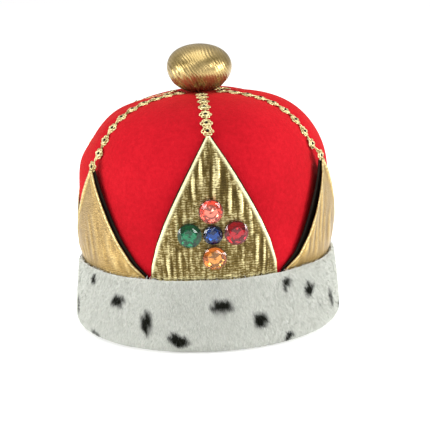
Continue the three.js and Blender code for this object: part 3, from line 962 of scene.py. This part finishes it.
# %% Gold points: from panel to cloth
def make_point(index):
    name = POINTS[index]
    front = name == "front"
    kind = POINT_KINDS["front" if front else "side"]
    middle = (index * SEAM + math.pi) % math.tau - math.pi
    panel = read_panel(f"point_{name}", middle, *kind["grid"])
    across, along, up, edge = (panel[key] for key in ("across", "along", "up", "edge"))
    flat = np.zeros_like(across)
    bow = HEM_BOW[0] + HEM_BOW[1] * np.sin(math.pi * up) if front else 1
    hem = bell((edge - 0.7 * HEM_WIDTH * bow) / (0.75 * HEM_WIDTH * bow))
    stitched = bell((edge - 2.1 * HEM_WIDTH) / (0.5 * HEM_WIDTH))
    inside = smooth(HEM_WIDTH, 3.5 * HEM_WIDTH, edge)
    charted = FRONT_CREASES if front else side_creases(20 + index)
    creases = crease_height(panel, charted, kind["narrow"]) * inside
    swing = 2.0 * waves(across, flat, flat, seed=30 + index, size=0.05)
    foot = (1 - smooth(0.0, 0.15, up)) * inside
    gathers = GATHER_DEPTH * np.sin(across * math.tau / GATHER_PITCH + swing) * foot
    drape = DRAPE_DEPTH * waves(across, along, flat, seed=40 + index, size=0.04) * inside
    off = (creases + gathers + drape) * smooth(0.0, 0.03, up)
    off += HEM_RISE * hem - STITCH_GROOVE * (stitched + 1)
    stitches = kind["stitch_dark"] * smooth(0.5, 1, np.sin(along * math.tau / STITCH_PITCH))
    # the ridge mask is painted light: a painted highlight on crease tops, on gathers and on the
    # flat strip along the foot, and painted shade in the folds
    strip = FOOT_STRIP * (1 - smooth(0.02, 0.03, up))
    masks = {
        "ridge": np.clip(0.5 + (creases + 0.6 * gathers) / CREASE_SPAN + strip, 0, 1),
        "hem": hem * (1 - stitches) * smooth(0.02, 0.08, up),
    }
    inner = place_grid(panel, np.minimum(off, 0.2 * MM) - LAME_WALL)
    point = panel_mesh(f"gold_point_{name}", panel, place_grid(panel, off), inner, masks)
    point.data.materials.append(lame_front_painted_light if front else lame)
    return point


points = {}
for index, name in enumerate(POINTS):
    points[name] = make_point(index)
    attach(points[name], "root")
    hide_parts(f"point_{name}")
print("point faces", sum(len(p.data.polygons) for p in points.values()))

# %% [markdown]
# ## The black backings
# Each point is lined with black cloth, which shows as a dark line along its edge and as a
# broad dark strip where the point stands away from the dome. It is read off its own solid
# in the same way, with a plain rounded edge and no creases.

# %% Backings
BACKING_WALL = 1.1 * MM
BACKING_WAVE = 0.12 * MM


def make_backing(index):
    name = POINTS[index]
    middle = (index * SEAM + math.pi) % math.tau - math.pi
    panel = read_panel(f"backing_{name}", middle, 36, 56, rounds=10)
    flat = np.zeros_like(panel["across"])
    wave = waves(panel["across"], panel["along"], flat, seed=60 + index, size=0.03)
    off = BACKING_WAVE * (wave - 1)
    outer, inner = place_grid(panel, off), place_grid(panel, off - BACKING_WALL)
    backing = panel_mesh(f"black_backing_{name}", panel, outer, inner, {})
    backing.data.materials.append(black_cloth)
    return backing


backings = {}
for index, name in enumerate(POINTS):
    backings[name] = make_backing(index)
    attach(backings[name], "root")
    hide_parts(f"backing_{name}")
print("backing faces", sum(len(b.data.polygons) for b in backings.values()))

# %% [markdown]
# ## The knob
# A ball of stuffed gold cloth, gathered underneath where it is sewn on. A grid of latitude
# and longitude is shaped by rule: an ellipsoid of the solid's size, with pleats that deepen
# towards the gathers, and a few deeper tucks from a table. Inflated cloth would find pleats
# of its own, but not in the places that the photo shows. The cloth's ribs are left to the
# material.

# %% Knob
KNOB_ROWS = 120
KNOB_COLUMNS = 260
KNOB_END = 0.27                   # radians that the gathered end leaves out of a whole ball
PLEATS = 24
PLEAT_DEPTH = 0.55                # mm
BULGE = 0.35                      # mm
TUCKS = [
    # turn in degrees, how far up they reach in radians, width in degrees, depth in mm
    (-38, 1.25, 5, 1.0), (-50, 1.35, 6, 1.3), (-62, 1.5, 5, 0.9), (-26, 1.6, 5, 0.7),
    (-78, 1.6, 6, 0.8), (60, 1.9, 6, 0.6), (120, 1.7, 6, 0.9), (165, 1.6, 6, 0.8),
    (210, 1.75, 6, 0.9), (250, 1.6, 5, 0.8),
]


# %% Knob: shape
def knob_rise(turn, down, ball):
    """How far the cloth stands off the ball, in mm: pleats, bulges and tucks."""
    gathered = smooth(1.7, 2.9, down)
    twist = turn + 0.25 * gathered
    pleat = np.sin(twist * PLEATS + 1.6 * np.sin(twist * 3)) * (0.6 + 0.4 * np.sin(twist * 5 + 1))
    bulge = waves(*ball, seed=7, size=1.6) * (1 - gathered)
    rise = PLEAT_DEPTH * pleat * gathered + BULGE * bulge
    for at, reach, width, depth in TUCKS:
        bend = 0.35 * (down - reach)
        away = np.angle(np.exp(1j * (turn - math.radians(at) - bend))) / math.radians(width)
        ridge = bell(away) - 0.5 * bell(away - 1.5) - 0.5 * bell(away + 1.5)
        rise += depth * 0.6 * ridge * smooth(reach - 0.1, reach + 0.4, down)
    return rise - 0.3


def make_knob():
    low, high = (Vector(corner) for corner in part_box("knob"))
    radius = (high.x - low.x) / 2
    underside = math.pi - KNOB_END
    tall = (high.z - low.z) / (1 - math.cos(underside))
    down, turn = np.meshgrid(
        np.linspace(0.02, underside, KNOB_ROWS),
        np.linspace(0, math.tau, KNOB_COLUMNS, endpoint=False), indexing="ij",
    )
    ball = (np.sin(turn) * np.sin(down), -np.cos(turn) * np.sin(down), np.cos(down))
    rise = knob_rise(turn, down, ball) * MM
    places = np.stack([
        (radius + rise) * ball[0], (radius + rise) * ball[1],
        high.z - tall + (tall + rise) * ball[2],
    ], -1).reshape(-1, 3)
    index = np.arange(KNOB_ROWS * KNOB_COLUMNS).reshape(KNOB_ROWS, KNOB_COLUMNS)
    ends = [index[0, :].tolist(), index[-1, ::-1].tolist()]
    around = np.hstack([index, index[:, :1]])
    mesh = bpy.data.meshes.new("gold_knob")
    mesh.from_pydata(places.tolist(), [], grid_faces(around)[:, ::-1].tolist() + ends)
    add_uv(mesh, np.stack([ball[0], ball[2]], -1).reshape(-1, 2) * radius)
    mesh.shade_smooth()
    knob = link(bpy.data.objects.new("gold_knob", mesh))
    knob.data.materials.append(lame_knob)
    return knob


knob = make_knob()
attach(knob, "root")
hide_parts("knob")
print("knob faces", len(knob.data.polygons))

# %% [markdown]
# ## Node trees that make shapes
# The braid and the fur repeat one small shape hundreds or thousands of times, so Geometry
# Nodes make them. A tree is built with one small class, whose methods add a node and hand
# back its output. Its inputs have names, and an object sets them by each socket's
# identifier.

# %% Helpers for Geometry Nodes
class Tree:
    """A Geometry Nodes tree under construction, with named inputs."""

    def __init__(self, name, inputs):
        self.group = bpy.data.node_groups.new(name, "GeometryNodeTree")
        face = self.group.interface
        face.new_socket("Geometry", in_out="INPUT", socket_type="NodeSocketGeometry")
        for label, kind, value in inputs:
            socket = face.new_socket(label, in_out="INPUT", socket_type=f"NodeSocket{kind}")
            if value is not None:
                socket.default_value = value
        face.new_socket("Geometry", in_out="OUTPUT", socket_type="NodeSocketGeometry")
        self.given = self.group.nodes.new("NodeGroupInput").outputs
        self.made = self.group.nodes.new("NodeGroupOutput").inputs

    def node(self, kind, settings=None, **inputs):
        """Add a node; an input is a value or the output of another node."""
        node = self.group.nodes.new(kind)
        for key, value in (settings or {}).items():
            setattr(node, key, value)
        for label, value in inputs.items():
            socket = self.socket(node, label)
            if isinstance(value, bpy.types.NodeSocket):
                self.group.links.new(value, socket)
            else:
                socket.default_value = value
        return node

    def socket(self, node, label):
        if label[0] == "i" and label[1:].isdigit():
            return node.inputs[int(label[1:])]
        return next(s for s in node.inputs if s.enabled and s.name == label.replace("_", " "))

    def math(self, operation, a, b=0.0):
        return self.node("ShaderNodeMath", {"operation": operation}, i0=a, i1=b).outputs[0]

    def chance(self, low, high, seed):
        """A seeded random number for each element."""
        node = self.node(
            "FunctionNodeRandomValue", {"data_type": "FLOAT"}, i2=low, i3=high, Seed=seed
        )
        return next(s for s in node.outputs if s.enabled)

    def chance_vector(self, low, high, seed):
        """A seeded random vector for each element."""
        return self.node(
            "FunctionNodeRandomValue", {"data_type": "FLOAT_VECTOR"}, i0=low, i1=high, Seed=seed
        ).outputs[0]

    def vector(self, operation, **inputs):
        return self.node("ShaderNodeVectorMath", {"operation": operation}, **inputs).outputs[0]

    def named(self, name, kind):
        """An attribute that the mesh carries."""
        return self.node(
            "GeometryNodeInputNamedAttribute", {"data_type": kind}, Name=name
        ).outputs[0]

    def stored(self, geometry, name, kind, value):
        """The geometry with a value kept on each of its points."""
        return self.node(
            "GeometryNodeStoreNamedAttribute", {"data_type": kind, "domain": "POINT"},
            Geometry=geometry, Name=name, Value=value,
        ).outputs[0]

    def aligned(self, axis, vector, **more):
        """A rotation that turns an axis towards a vector."""
        pivot = {"pivot_axis": "Z"} if more else {}
        return self.node(
            "FunctionNodeAlignRotationToVector", {"axis": axis, **pivot}, Vector=vector, **more
        ).outputs[0]

    def join(self, *parts):
        node = self.group.nodes.new("GeometryNodeJoinGeometry")
        for part in parts:
            self.group.links.new(part, node.inputs[0])
        return node.outputs[0]

    def finish(self, geometry, material):
        solid = self.node("GeometryNodeRealizeInstances", Geometry=geometry).outputs[0]
        dressed = self.node("GeometryNodeSetMaterial", Geometry=solid, Material=material).outputs[0]
        self.group.links.new(dressed, self.made["Geometry"])
        return self.group


# %% Running a tree
def grown(obj, group, **values):
    """Run a tree on an object and keep the mesh that comes out."""
    modifier = obj.modifiers.new("growing", "NODES")
    modifier.node_group = group
    for item in group.interface.items_tree:
        if item.item_type == "SOCKET" and item.in_out == "INPUT" and item.name in values:
            modifier[item.identifier] = values[item.name]
    apply_modifiers(obj)
    return obj


# %% [markdown]
# ## The gold braid
# A strip of cord worked into rosettes: a looped outer cord, a raised inner ring and a dark
# bead, joined by two strands that cross. The rosette is one small mesh, made once. The tree
# sets it along a path at the real pitch, flat on the cloth, and winds the two strands along
# the same path.

# %% Braid parts
PETALS = 6
CORD = 0.60 * MM                  # radius of the outer cord
RING = 0.72 * MM                  # radius of the inner ring's cord
BEAD = 0.80 * MM
PETAL_REACH = (3.45, 0.85)        # mm from the middle to the outer cord, and how that swings
RING_REACH = (2.0, 2.1)           # mm, along the braid and across it
STRAND_HEIGHT = 0.0008            # from the cloth to where the strands cross
STRAND_STEP = 0.0007              # between two points of a strand


def tube(path, radius, sides, dark):
    """Places, faces and darkness of a closed tube of cord along a closed path."""
    path = np.asarray(path)
    along = np.roll(path, -1, axis=0) - np.roll(path, 1, axis=0)
    along /= np.linalg.norm(along, axis=1, keepdims=True)
    up = np.array([0.0, 0.0, 1.0]) - along * along[:, 2:3]
    up /= np.linalg.norm(up, axis=1, keepdims=True)
    out = np.cross(along, up)
    turn = np.linspace(0, math.tau, sides, endpoint=False)[:, None]
    section = out[:, None] * np.cos(turn) + up[:, None] * np.sin(turn)
    places = path[:, None] + radius * section
    index = np.arange(len(path) * sides).reshape(len(path), sides)
    index = np.pad(index, ((0, 1), (0, 1)), mode="wrap")
    return places.reshape(-1, 3), grid_faces(index)[:, ::-1], np.full(len(path) * sides, dark)


def make_rosette():
    """One rosette, lying flat with its length along X and its back at height 0."""
    turn = np.linspace(0, math.tau, PETALS * 10, endpoint=False)
    reach = PETAL_REACH[0] - PETAL_REACH[1] * np.cos(PETALS * turn)
    swing = turn - 0.12 * np.sin(PETALS * turn)
    weave = 0.70 + 0.15 * np.sin(PETALS * turn)
    outer = np.stack([0.92 * reach * np.cos(swing), 1.04 * reach * np.sin(swing), weave], -1)
    turn = np.linspace(0, math.tau, 22, endpoint=False)
    rise = 1.15 + 0.12 * np.cos(2 * turn)
    inner = np.stack([RING_REACH[0] * np.cos(turn), RING_REACH[1] * np.sin(turn), rise], -1)
    turn = turn[::2]
    bead = np.stack([0.35 * np.cos(turn), 0.35 * np.sin(turn), 1.6 + 0 * turn], -1)
    parts = [
        tube(outer * MM, CORD, 6, 0.0), tube(inner * MM, RING, 8, 0.0),
        tube(bead * MM, BEAD, 8, 1.0),
    ]
    shift = np.cumsum([0] + [len(part[0]) for part in parts[:-1]])
    mesh = bpy.data.meshes.new("rosette")
    faces = np.concatenate([part[1] + start for part, start in zip(parts, shift)])
    mesh.from_pydata(np.concatenate([part[0] for part in parts]).tolist(), [], faces.tolist())
    store(mesh, "eye", np.concatenate([part[2] for part in parts]))
    mesh.shade_smooth()
    return bpy.data.objects.new("rosette", mesh)


# %% [markdown]
# The braid's tree has three parts: the rosettes, and the two strands, which are the same
# line swung aside and over each other, half a turn apart.

# %% Braid tree
def resampled(tree, line, length):
    return tree.node(
        "GeometryNodeResampleCurve", {"mode": "LENGTH"}, Curve=line, Length=length
    ).outputs[0]


def rosettes_along(tree, line, out, tangent):
    """Rosettes at the given pitch, flat on the cloth and turned along the line."""
    facing = tree.aligned("X", tangent, Rotation=tree.aligned("Z", out))
    beads = resampled(tree, line, tree.given["Pitch"])
    marked = tree.stored(beads, "facing", "QUATERNION", facing)
    dotted = tree.node("GeometryNodeCurveToPoints", {"mode": "EVALUATED"}, Curve=marked)
    shape = tree.node("GeometryNodeObjectInfo", Object=tree.given["Rosette"])
    return tree.node(
        "GeometryNodeInstanceOnPoints", Points=dotted.outputs[0],
        Instance=shape.outputs["Geometry"], Rotation=tree.named("facing", "QUATERNION"),
    ).outputs[0]


def strand_along(tree, fine, out, aside, phase, side):
    """One of the two strands, which swings aside and over the other one."""
    strand = tree.given["Strand"]
    swing = tree.math("MULTIPLY", tree.given["Swing"], side)
    lift = tree.math("MULTIPLY", strand, 0.8 * side)
    sideways = tree.math("MULTIPLY", tree.math("SINE", phase), swing)
    lift = tree.math("MULTIPLY", tree.math("COSINE", phase), lift)
    step = tree.vector("SCALE", i0=aside, Scale=sideways)
    climb = tree.vector("SCALE", i0=out, Scale=tree.math("ADD", lift, STRAND_HEIGHT))
    offset = tree.vector("ADD", i0=step, i1=climb)
    wound = tree.node("GeometryNodeSetPosition", Geometry=fine, Offset=offset).outputs[0]
    ring = tree.node(
        "GeometryNodeCurvePrimitiveCircle", {"mode": "RADIUS"}, Resolution=5, Radius=strand
    ).outputs[0]
    return tree.node(
        "GeometryNodeCurveToMesh", Curve=wound, Profile_Curve=ring, Fill_Caps=True
    ).outputs[0]


def braid_tree():
    """Rosettes at a pitch along a path, with two strands wound along it."""
    tree = Tree("gold_braid", [
        ("Pitch", "Float", 0.01085), ("Strand", "Float", 0.0006), ("Swing", "Float", 0.0009),
        ("Rosette", "Object", None), ("Material", "Material", None),
    ])
    out = tree.named("outward", "FLOAT_VECTOR")
    line = tree.node("GeometryNodeMeshToCurve", Mesh=tree.given["Geometry"]).outputs[0]
    tangent = tree.node("GeometryNodeInputTangent").outputs[0]
    rosettes = rosettes_along(tree, line, out, tangent)
    fine = resampled(tree, line, STRAND_STEP)
    length = tree.node("GeometryNodeSplineParameter").outputs["Length"]
    phase = tree.math("MULTIPLY", tree.math("DIVIDE", length, tree.given["Pitch"]), math.tau)
    aside = tree.vector("CROSS_PRODUCT", i0=out, i1=tangent)
    strands = [strand_along(tree, fine, out, aside, phase, side) for side in (1.0, -1.0)]
    return tree.finish(tree.join(rosettes, *strands), tree.given["Material"])


# %% [markdown]
# The path of each braid is one chain of points on the dome, from the tip of the gold point
# to the knob. Rays towards the middle of the hat find the finished dome, and near the tip
# the outer face of the braid's solid, because there the braid climbs onto the gold. The
# rosettes keep one real pitch, so the path is cut to a whole number of them. The outward
# direction is kept at each point, for the tree.

# %% Braids
HAT_MIDDLE = Vector((0, 0, 0.09))
ROSETTE_PITCH = 10.85 * MM
FIRST_ROSETTE = 3.6 * MM          # its middle lies this far above the tip
BRAID_SINK = 0.9 * MM             # from the solid's outer face to the back of the cord
CLIMB = 20 * MM


def profile(tree, out):
    """Radius and height where rays towards the middle of the hat meet a surface."""
    hits = []
    for climb in np.radians(np.linspace(12, 84, 400)):
        way = out * math.cos(climb) + Vector((0, 0, math.sin(climb)))
        hit = tree.ray_cast(HAT_MIDDLE + way * 0.2, -way, 0.2)[0]
        hits.append((math.nan, math.nan) if hit is None else (math.hypot(hit.x, hit.y), hit.z))
    return np.array(hits)


def braid_path(name, middle, dome_tree):
    work = bare_mesh(f"braid_{name}")
    solid_tree = BVHTree.FromBMesh(work)
    work.free()
    out = Vector((math.sin(middle), -math.cos(middle), 0))
    solid, cloth = profile(solid_tree, out), profile(dome_tree, out)
    known = np.flatnonzero(~np.isnan(solid[:, 0]))
    solid, cloth = solid[known[0]:known[-1] + 1], cloth[known[0]:known[-1] + 1]
    solid = np.stack([filled(solid[:, k]) for k in (0, 1)], -1)
    line = cloth.copy()
    for _ in range(30):
        line[1:-1] = 0.5 * line[1:-1] + 0.25 * (line[:-2] + line[2:])
    along = np.r_[0, np.cumsum(np.linalg.norm(np.diff(line, axis=0), axis=1))]
    slope = np.gradient(line, axis=0)
    away = np.stack([slope[:, 1], -slope[:, 0]], -1) / np.linalg.norm(slope, axis=1, keepdims=True)
    lift = ((solid - line) * away).sum(1) - BRAID_SINK
    line += away * (np.maximum(lift, 0) * (1 - smooth(0, CLIMB, along)))[:, None]
    count = int((along[-1] - FIRST_ROSETTE) / ROSETTE_PITCH)
    steps = FIRST_ROSETTE + np.linspace(0, count * ROSETTE_PITCH, 12 * count + 1)
    line = np.stack([np.interp(steps, along, line[:, k]) for k in (0, 1)], -1)
    away = np.stack([np.interp(steps, along, away[:, k]) for k in (0, 1)], -1)
    sideways = np.array([out.x, out.y])
    places = np.column_stack([line[:, :1] * sideways, line[:, 1]])
    return places, np.column_stack([away[:, :1] * sideways, away[:, 1]])


def make_braid(index, group, rosette, dome_tree):
    name = POINTS[index]
    places, ways = braid_path(name, index * SEAM, dome_tree)
    mesh = bpy.data.meshes.new(f"rosette_braid_{name}")
    mesh.from_pydata(places.tolist(), [(k, k + 1) for k in range(len(places) - 1)], [])
    layer = mesh.attributes.new("outward", "FLOAT_VECTOR", "POINT")
    layer.data.foreach_set("vector", np.ascontiguousarray(ways, dtype=np.float32).ravel())
    braid = link(bpy.data.objects.new(f"rosette_braid_{name}", mesh))
    return grown(braid, group, Pitch=0.999 * ROSETTE_PITCH, Rosette=rosette, Material=thread)


rosette = make_rosette()
braid_group = braid_tree()
dome_tree = BVHTree.FromObject(dome, bpy.context.evaluated_depsgraph_get())
braids = {}
for index, name in enumerate(POINTS):
    braids[name] = make_braid(index, braid_group, rosette, dome_tree)
    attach(braids[name], "root")
    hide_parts(f"braid_{name}")
print("braid faces", sum(len(b.data.polygons) for b in braids.values()))

# %% [markdown]
# ## The fur
# Short hairs stand on the band's skin. The tree scatters points with a fixed seed, denser
# where the mask pile is high, and sets a thin tapered blade on each, leaning down and a
# little aside. Each blade carries the darkness of the spot that it grows from. Blender's own
# hair would be lighter to render, but it isn't a mesh, and the part has to be one. The hairs
# are made in two halves, so that neither is too heavy a mesh.

# %% Fur
HAIR_LENGTH = 2.6 * MM
HAIR_WIDTH = 0.40 * MM
HAIR_SIZES = (0.6, 1.1)           # shares of that length and width
HAIR_SPIN = 0.9                   # radians to either side
HAIRS = 52000                     # on each half
DOWN_AND_ASIDE = (0.15, 0, -1)


def make_blade():
    """One hair, bent forwards and standing on its root: a flat blade with a pointed tip."""
    mesh = bpy.data.meshes.new("blade")
    rows = [(-0.5, 0, 0), (0.5, 0, 0), (-0.4, 0.12, 0.55), (0.4, 0.12, 0.55), (0, 0.42, 1)]
    places = [(x * HAIR_WIDTH, y * HAIR_LENGTH, z * HAIR_LENGTH) for x, y, z in rows]
    mesh.from_pydata(places, [], [(0, 1, 3, 2), (2, 3, 4)])
    mesh.shade_smooth()
    return bpy.data.objects.new("blade", mesh)


# %% Fur tree
def fur_tree():
    tree = Tree("short_fur", [
        ("Hairs", "Float", 1e6), ("Seed", "Int", 5), ("Lean", "Float", 0.9),
        ("Stray", "Float", 0.45), ("Blade", "Object", None), ("Material", "Material", None),
    ])
    given = tree.given
    density = tree.math("MULTIPLY", tree.named("pile", "FLOAT"), given["Hairs"])
    scatter = tree.node(
        "GeometryNodeDistributePointsOnFaces", {"distribute_method": "RANDOM"},
        Mesh=given["Geometry"], Density=density, Seed=given["Seed"],
    )
    stray = tree.chance_vector((-1, -1, -1), (1, 1, 1), 3)
    way = scatter.outputs["Normal"]
    for part, size in ((stray, given["Stray"]), (DOWN_AND_ASIDE, given["Lean"])):
        way = tree.vector("ADD", i0=way, i1=tree.vector("SCALE", i0=part, Scale=size))
    facing = tree.aligned("Y", (0.0, 0.0, -1.0), Rotation=tree.aligned("Z", way))
    spin = tree.chance_vector((0, 0, -HAIR_SPIN), (0, 0, HAIR_SPIN), 4)
    facing = tree.node(
        "FunctionNodeRotateRotation", {"rotation_space": "LOCAL"}, Rotation=facing,
        i1=tree.node("FunctionNodeEulerToRotation", i0=spin).outputs[0],
    ).outputs[0]
    marked = tree.stored(
        scatter.outputs["Points"], "shade", "FLOAT", tree.chance(0.0, 1.0, 6)
    )
    shape = tree.node("GeometryNodeObjectInfo", Object=given["Blade"]).outputs["Geometry"]
    hairs = tree.node(
        "GeometryNodeInstanceOnPoints", Points=marked, Instance=shape, Rotation=facing,
        Scale=tree.chance(*HAIR_SIZES, 5),
    ).outputs[0]
    return tree.finish(hairs, given["Material"])


def make_fur(name, keep, group, blade, seed):
    """Hairs on the faces of the band for which keep is true."""
    fur = link(bpy.data.objects.new(name, band.data.copy()))
    work = bmesh.new()
    work.from_mesh(fur.data)
    others = [face for face in work.faces if not keep(face.calc_center_median())]
    bmesh.ops.delete(work, geom=others, context="FACES")
    work.to_mesh(fur.data)
    area = 0
    pile = work.verts.layers.float["pile"]
    for face in work.faces:
        area += face.calc_area() * sum(v[pile] for v in face.verts) / len(face.verts)
    work.free()
    grown(fur, group, Hairs=HAIRS / area, Seed=seed, Blade=blade, Material=fur_hair)
    places = corners(fur.data)
    places[:, 2] = np.maximum(places[:, 2], 0.15 * MM)
    move_corners(fur.data, places)
    return fur


blade = make_blade()
fur_group = fur_tree()
furs = [
    make_fur("fur_front", lambda at: at.y < 0, fur_group, blade, 5),
    make_fur("fur_back", lambda at: at.y >= 0, fur_group, blade, 8),
]
for fur in furs:
    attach(fur, "root")
    print(fur.name, "faces", len(fur.data.polygons))

# %% [markdown]
# ## The stones
# Moulded rhinestones: clear tinted glass over foil. Glass alone would show the dark gold
# cloth behind it, so the light in the middle of a stone has to come back from the foil,
# which is a piece of its own inside the body. The colour is split between the two: light
# crosses the glass twice and meets the foil once.

# %% Stones: finishes
GEM_COLOURS = {
    "pink": (0.66, 0.095, 0.055), "green": (0.0002, 0.075, 0.022), "blue": (0.0004, 0.012, 0.10),
    "red": (0.24, 0.001, 0.003), "amber": (0.48, 0.15, 0.018),
}
GLASS_SHARE, FOIL_SHARE = 0.25, 0.5


def make_gem_glass(name, colour):
    tint = [c ** GLASS_SHARE for c in colour]
    material, _, surface, _ = start_material(f"{name}_stone", tint, 0.03)
    surface.inputs["Transmission Weight"].default_value = 1.0
    surface.inputs["IOR"].default_value = 1.5
    return material


def make_foil(name, colour):
    tint = [c ** FOIL_SHARE for c in colour]
    material, _, surface, _ = start_material(f"{name}_foil", tint, 0.06)
    surface.inputs["Metallic"].default_value = 1.0
    return material


gem_looks = {name: (make_gem_glass(name, c), make_foil(name, c)) for name, c in GEM_COLOURS.items()}
print("stone finishes", len(gem_looks))

# %% [markdown]
# A stone has a flat table, eight kites and sixteen small facets round the girdle, and the
# foil is pressed into facets too. A facet is flat, so no smoothing or bevel helps here: each
# shape is a short list of rings of corners, and a loop joins them. The solid gives the seat,
# that is the middle of the stone's back, the way it faces and its size.

# %% Stones: rings and seats
FACETS = 8
BODY_RINGS = {
    # radius and height as shares of the stone's
    "table": (0.55, 1.0), "waist": (0.78, 0.74), "girdle": (1.0, 0.40),
    "under": (1.0, 0.26), "foot": (0.93, 0.0),
}
FOIL_RINGS = {"rim": (0.90, 0.30), "steps": (0.50, 0.04), "back": (0.86, 0.03)}
FOIL_POINT = 0.34
STONE_TURNS = (0, 0, 8, 0, 11)    # degrees, in the order of GEMS


def seat_of(node):
    """Centre of a stone's flat back, the way it faces, its radius and its height."""
    work = bare_mesh(node)
    work.normal_update()
    ways = {}
    for face in work.faces:
        key = tuple(round(c, 2) for c in face.normal)
        ways[key] = ways.get(key, 0) + face.calc_area()
    back = Vector(max(ways, key=ways.get)).normalized()
    out = -back
    depths = [v.co.dot(out) for v in work.verts]
    foot = min(depths)
    rim = [v.co for v in work.verts if v.co.dot(out) < foot + 0.2 * MM]
    centre = sum(rim, Vector()) / len(rim)
    radius = max((place - centre).length for place in rim)
    work.free()
    return centre, out, radius, max(depths) - foot


def ring(work, radius, height, count, start=0.0):
    turn = [math.tau * (k + start) / count for k in range(count)]
    return [work.verts.new((radius * math.cos(a), radius * math.sin(a), height)) for a in turn]


def wall(work, upper, lower):
    """Faces between two rings with as many corners."""
    for k in range(len(upper)):
        after = (k + 1) % len(upper)
        work.faces.new((upper[k], lower[k], lower[after], upper[after]))


print("facets round a stone", FACETS, "and", 2 * FACETS)


# %% Stones: shapes
def gem_body(radius, height):
    """A brilliant cut with a flat back."""
    work = bmesh.new()
    size = {name: (radius * r, height * h) for name, (r, h) in BODY_RINGS.items()}
    table = ring(work, *size["table"], FACETS)
    waist = ring(work, *size["waist"], FACETS, 0.5)
    girdle, under, foot = (
        ring(work, *size[name], 2 * FACETS) for name in ("girdle", "under", "foot")
    )
    work.faces.new(table)
    for k in range(FACETS):
        after = (k + 1) % FACETS
        g = [girdle[(2 * k + step) % (2 * FACETS)] for step in range(3)]
        work.faces.new((table[k], waist[k], table[after]))
        work.faces.new((waist[k], table[k], waist[k - 1], g[0]))
        work.faces.new((waist[k], g[0], g[1]))
        work.faces.new((waist[k], g[1], g[2]))
    wall(work, girdle, under)
    wall(work, under, foot)
    work.faces.new(foot[::-1])
    bmesh.ops.recalc_face_normals(work, faces=work.faces)
    return work


def gem_foil(radius, height):
    """Foil behind a stone: a shallow faceted cup, closed behind."""
    work = bmesh.new()
    size = {name: (radius * r, height * h) for name, (r, h) in FOIL_RINGS.items()}
    rim = ring(work, *size["rim"], 2 * FACETS)
    steps = ring(work, *size["steps"], FACETS, 0.5)
    point = work.verts.new((0, 0, FOIL_POINT * height))
    back = ring(work, *size["back"], 2 * FACETS)
    for k in range(FACETS):
        r = [rim[(2 * k + step) % (2 * FACETS)] for step in range(3)]
        work.faces.new((steps[k], r[0], r[1]))
        work.faces.new((steps[k], r[1], r[2]))
        work.faces.new((steps[k - 1], r[0], steps[k]))
        work.faces.new((steps[k - 1], steps[k], point))
    wall(work, rim, back)
    work.faces.new(back)
    bmesh.ops.recalc_face_normals(work, faces=work.faces)
    return work


def make_gem(name, turn):
    centre, out, radius, height = seat_of(f"gem_{name}")
    up = (Vector((0, 0, 1)) - out * out.z).normalized()
    right = up.cross(out)
    spin = Matrix.Rotation(math.radians(turn), 4, "Z")
    seat = Matrix((right, up, out)).transposed().to_4x4()
    seat.translation = centre
    body = from_bmesh(f"stone_{name}", gem_body(radius, height))
    foil = from_bmesh(f"foil_{name}", gem_foil(radius, height))
    for obj in (body, foil):
        obj.data.transform(seat @ spin)
        obj.data.shade_flat()
    for obj, look in zip((body, foil), gem_looks[name]):
        obj.data.materials.append(look)
    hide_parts(f"gem_{name}")
    for obj in (body, foil):
        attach(obj, "root")
    print(f"{name} stone", round(2 * radius / MM, 1), "mm across")


for name, turn in zip(GEMS, STONE_TURNS):
    make_gem(name, turn)

# %% [markdown]
# ## What is cloth and what is stuffed
# The sizes that the sheets were cut to, with their hems and seams: the dome is six gores,
# each 110 mm across at the band and 270 mm long, and 0.125 square metres in all, because a
# gore narrows to a tip. The band is a strip that is folded under the rim, and a gold point a
# triangle, so a little over half of its width times its height. The knob is stuffed. A mesh
# doesn't tell how much of a sheet was hidden in a seam. Here only the number of sheets is
# printed.

# %% Count of cloth sheets
print("sheets", 2 + 2 * len(points))
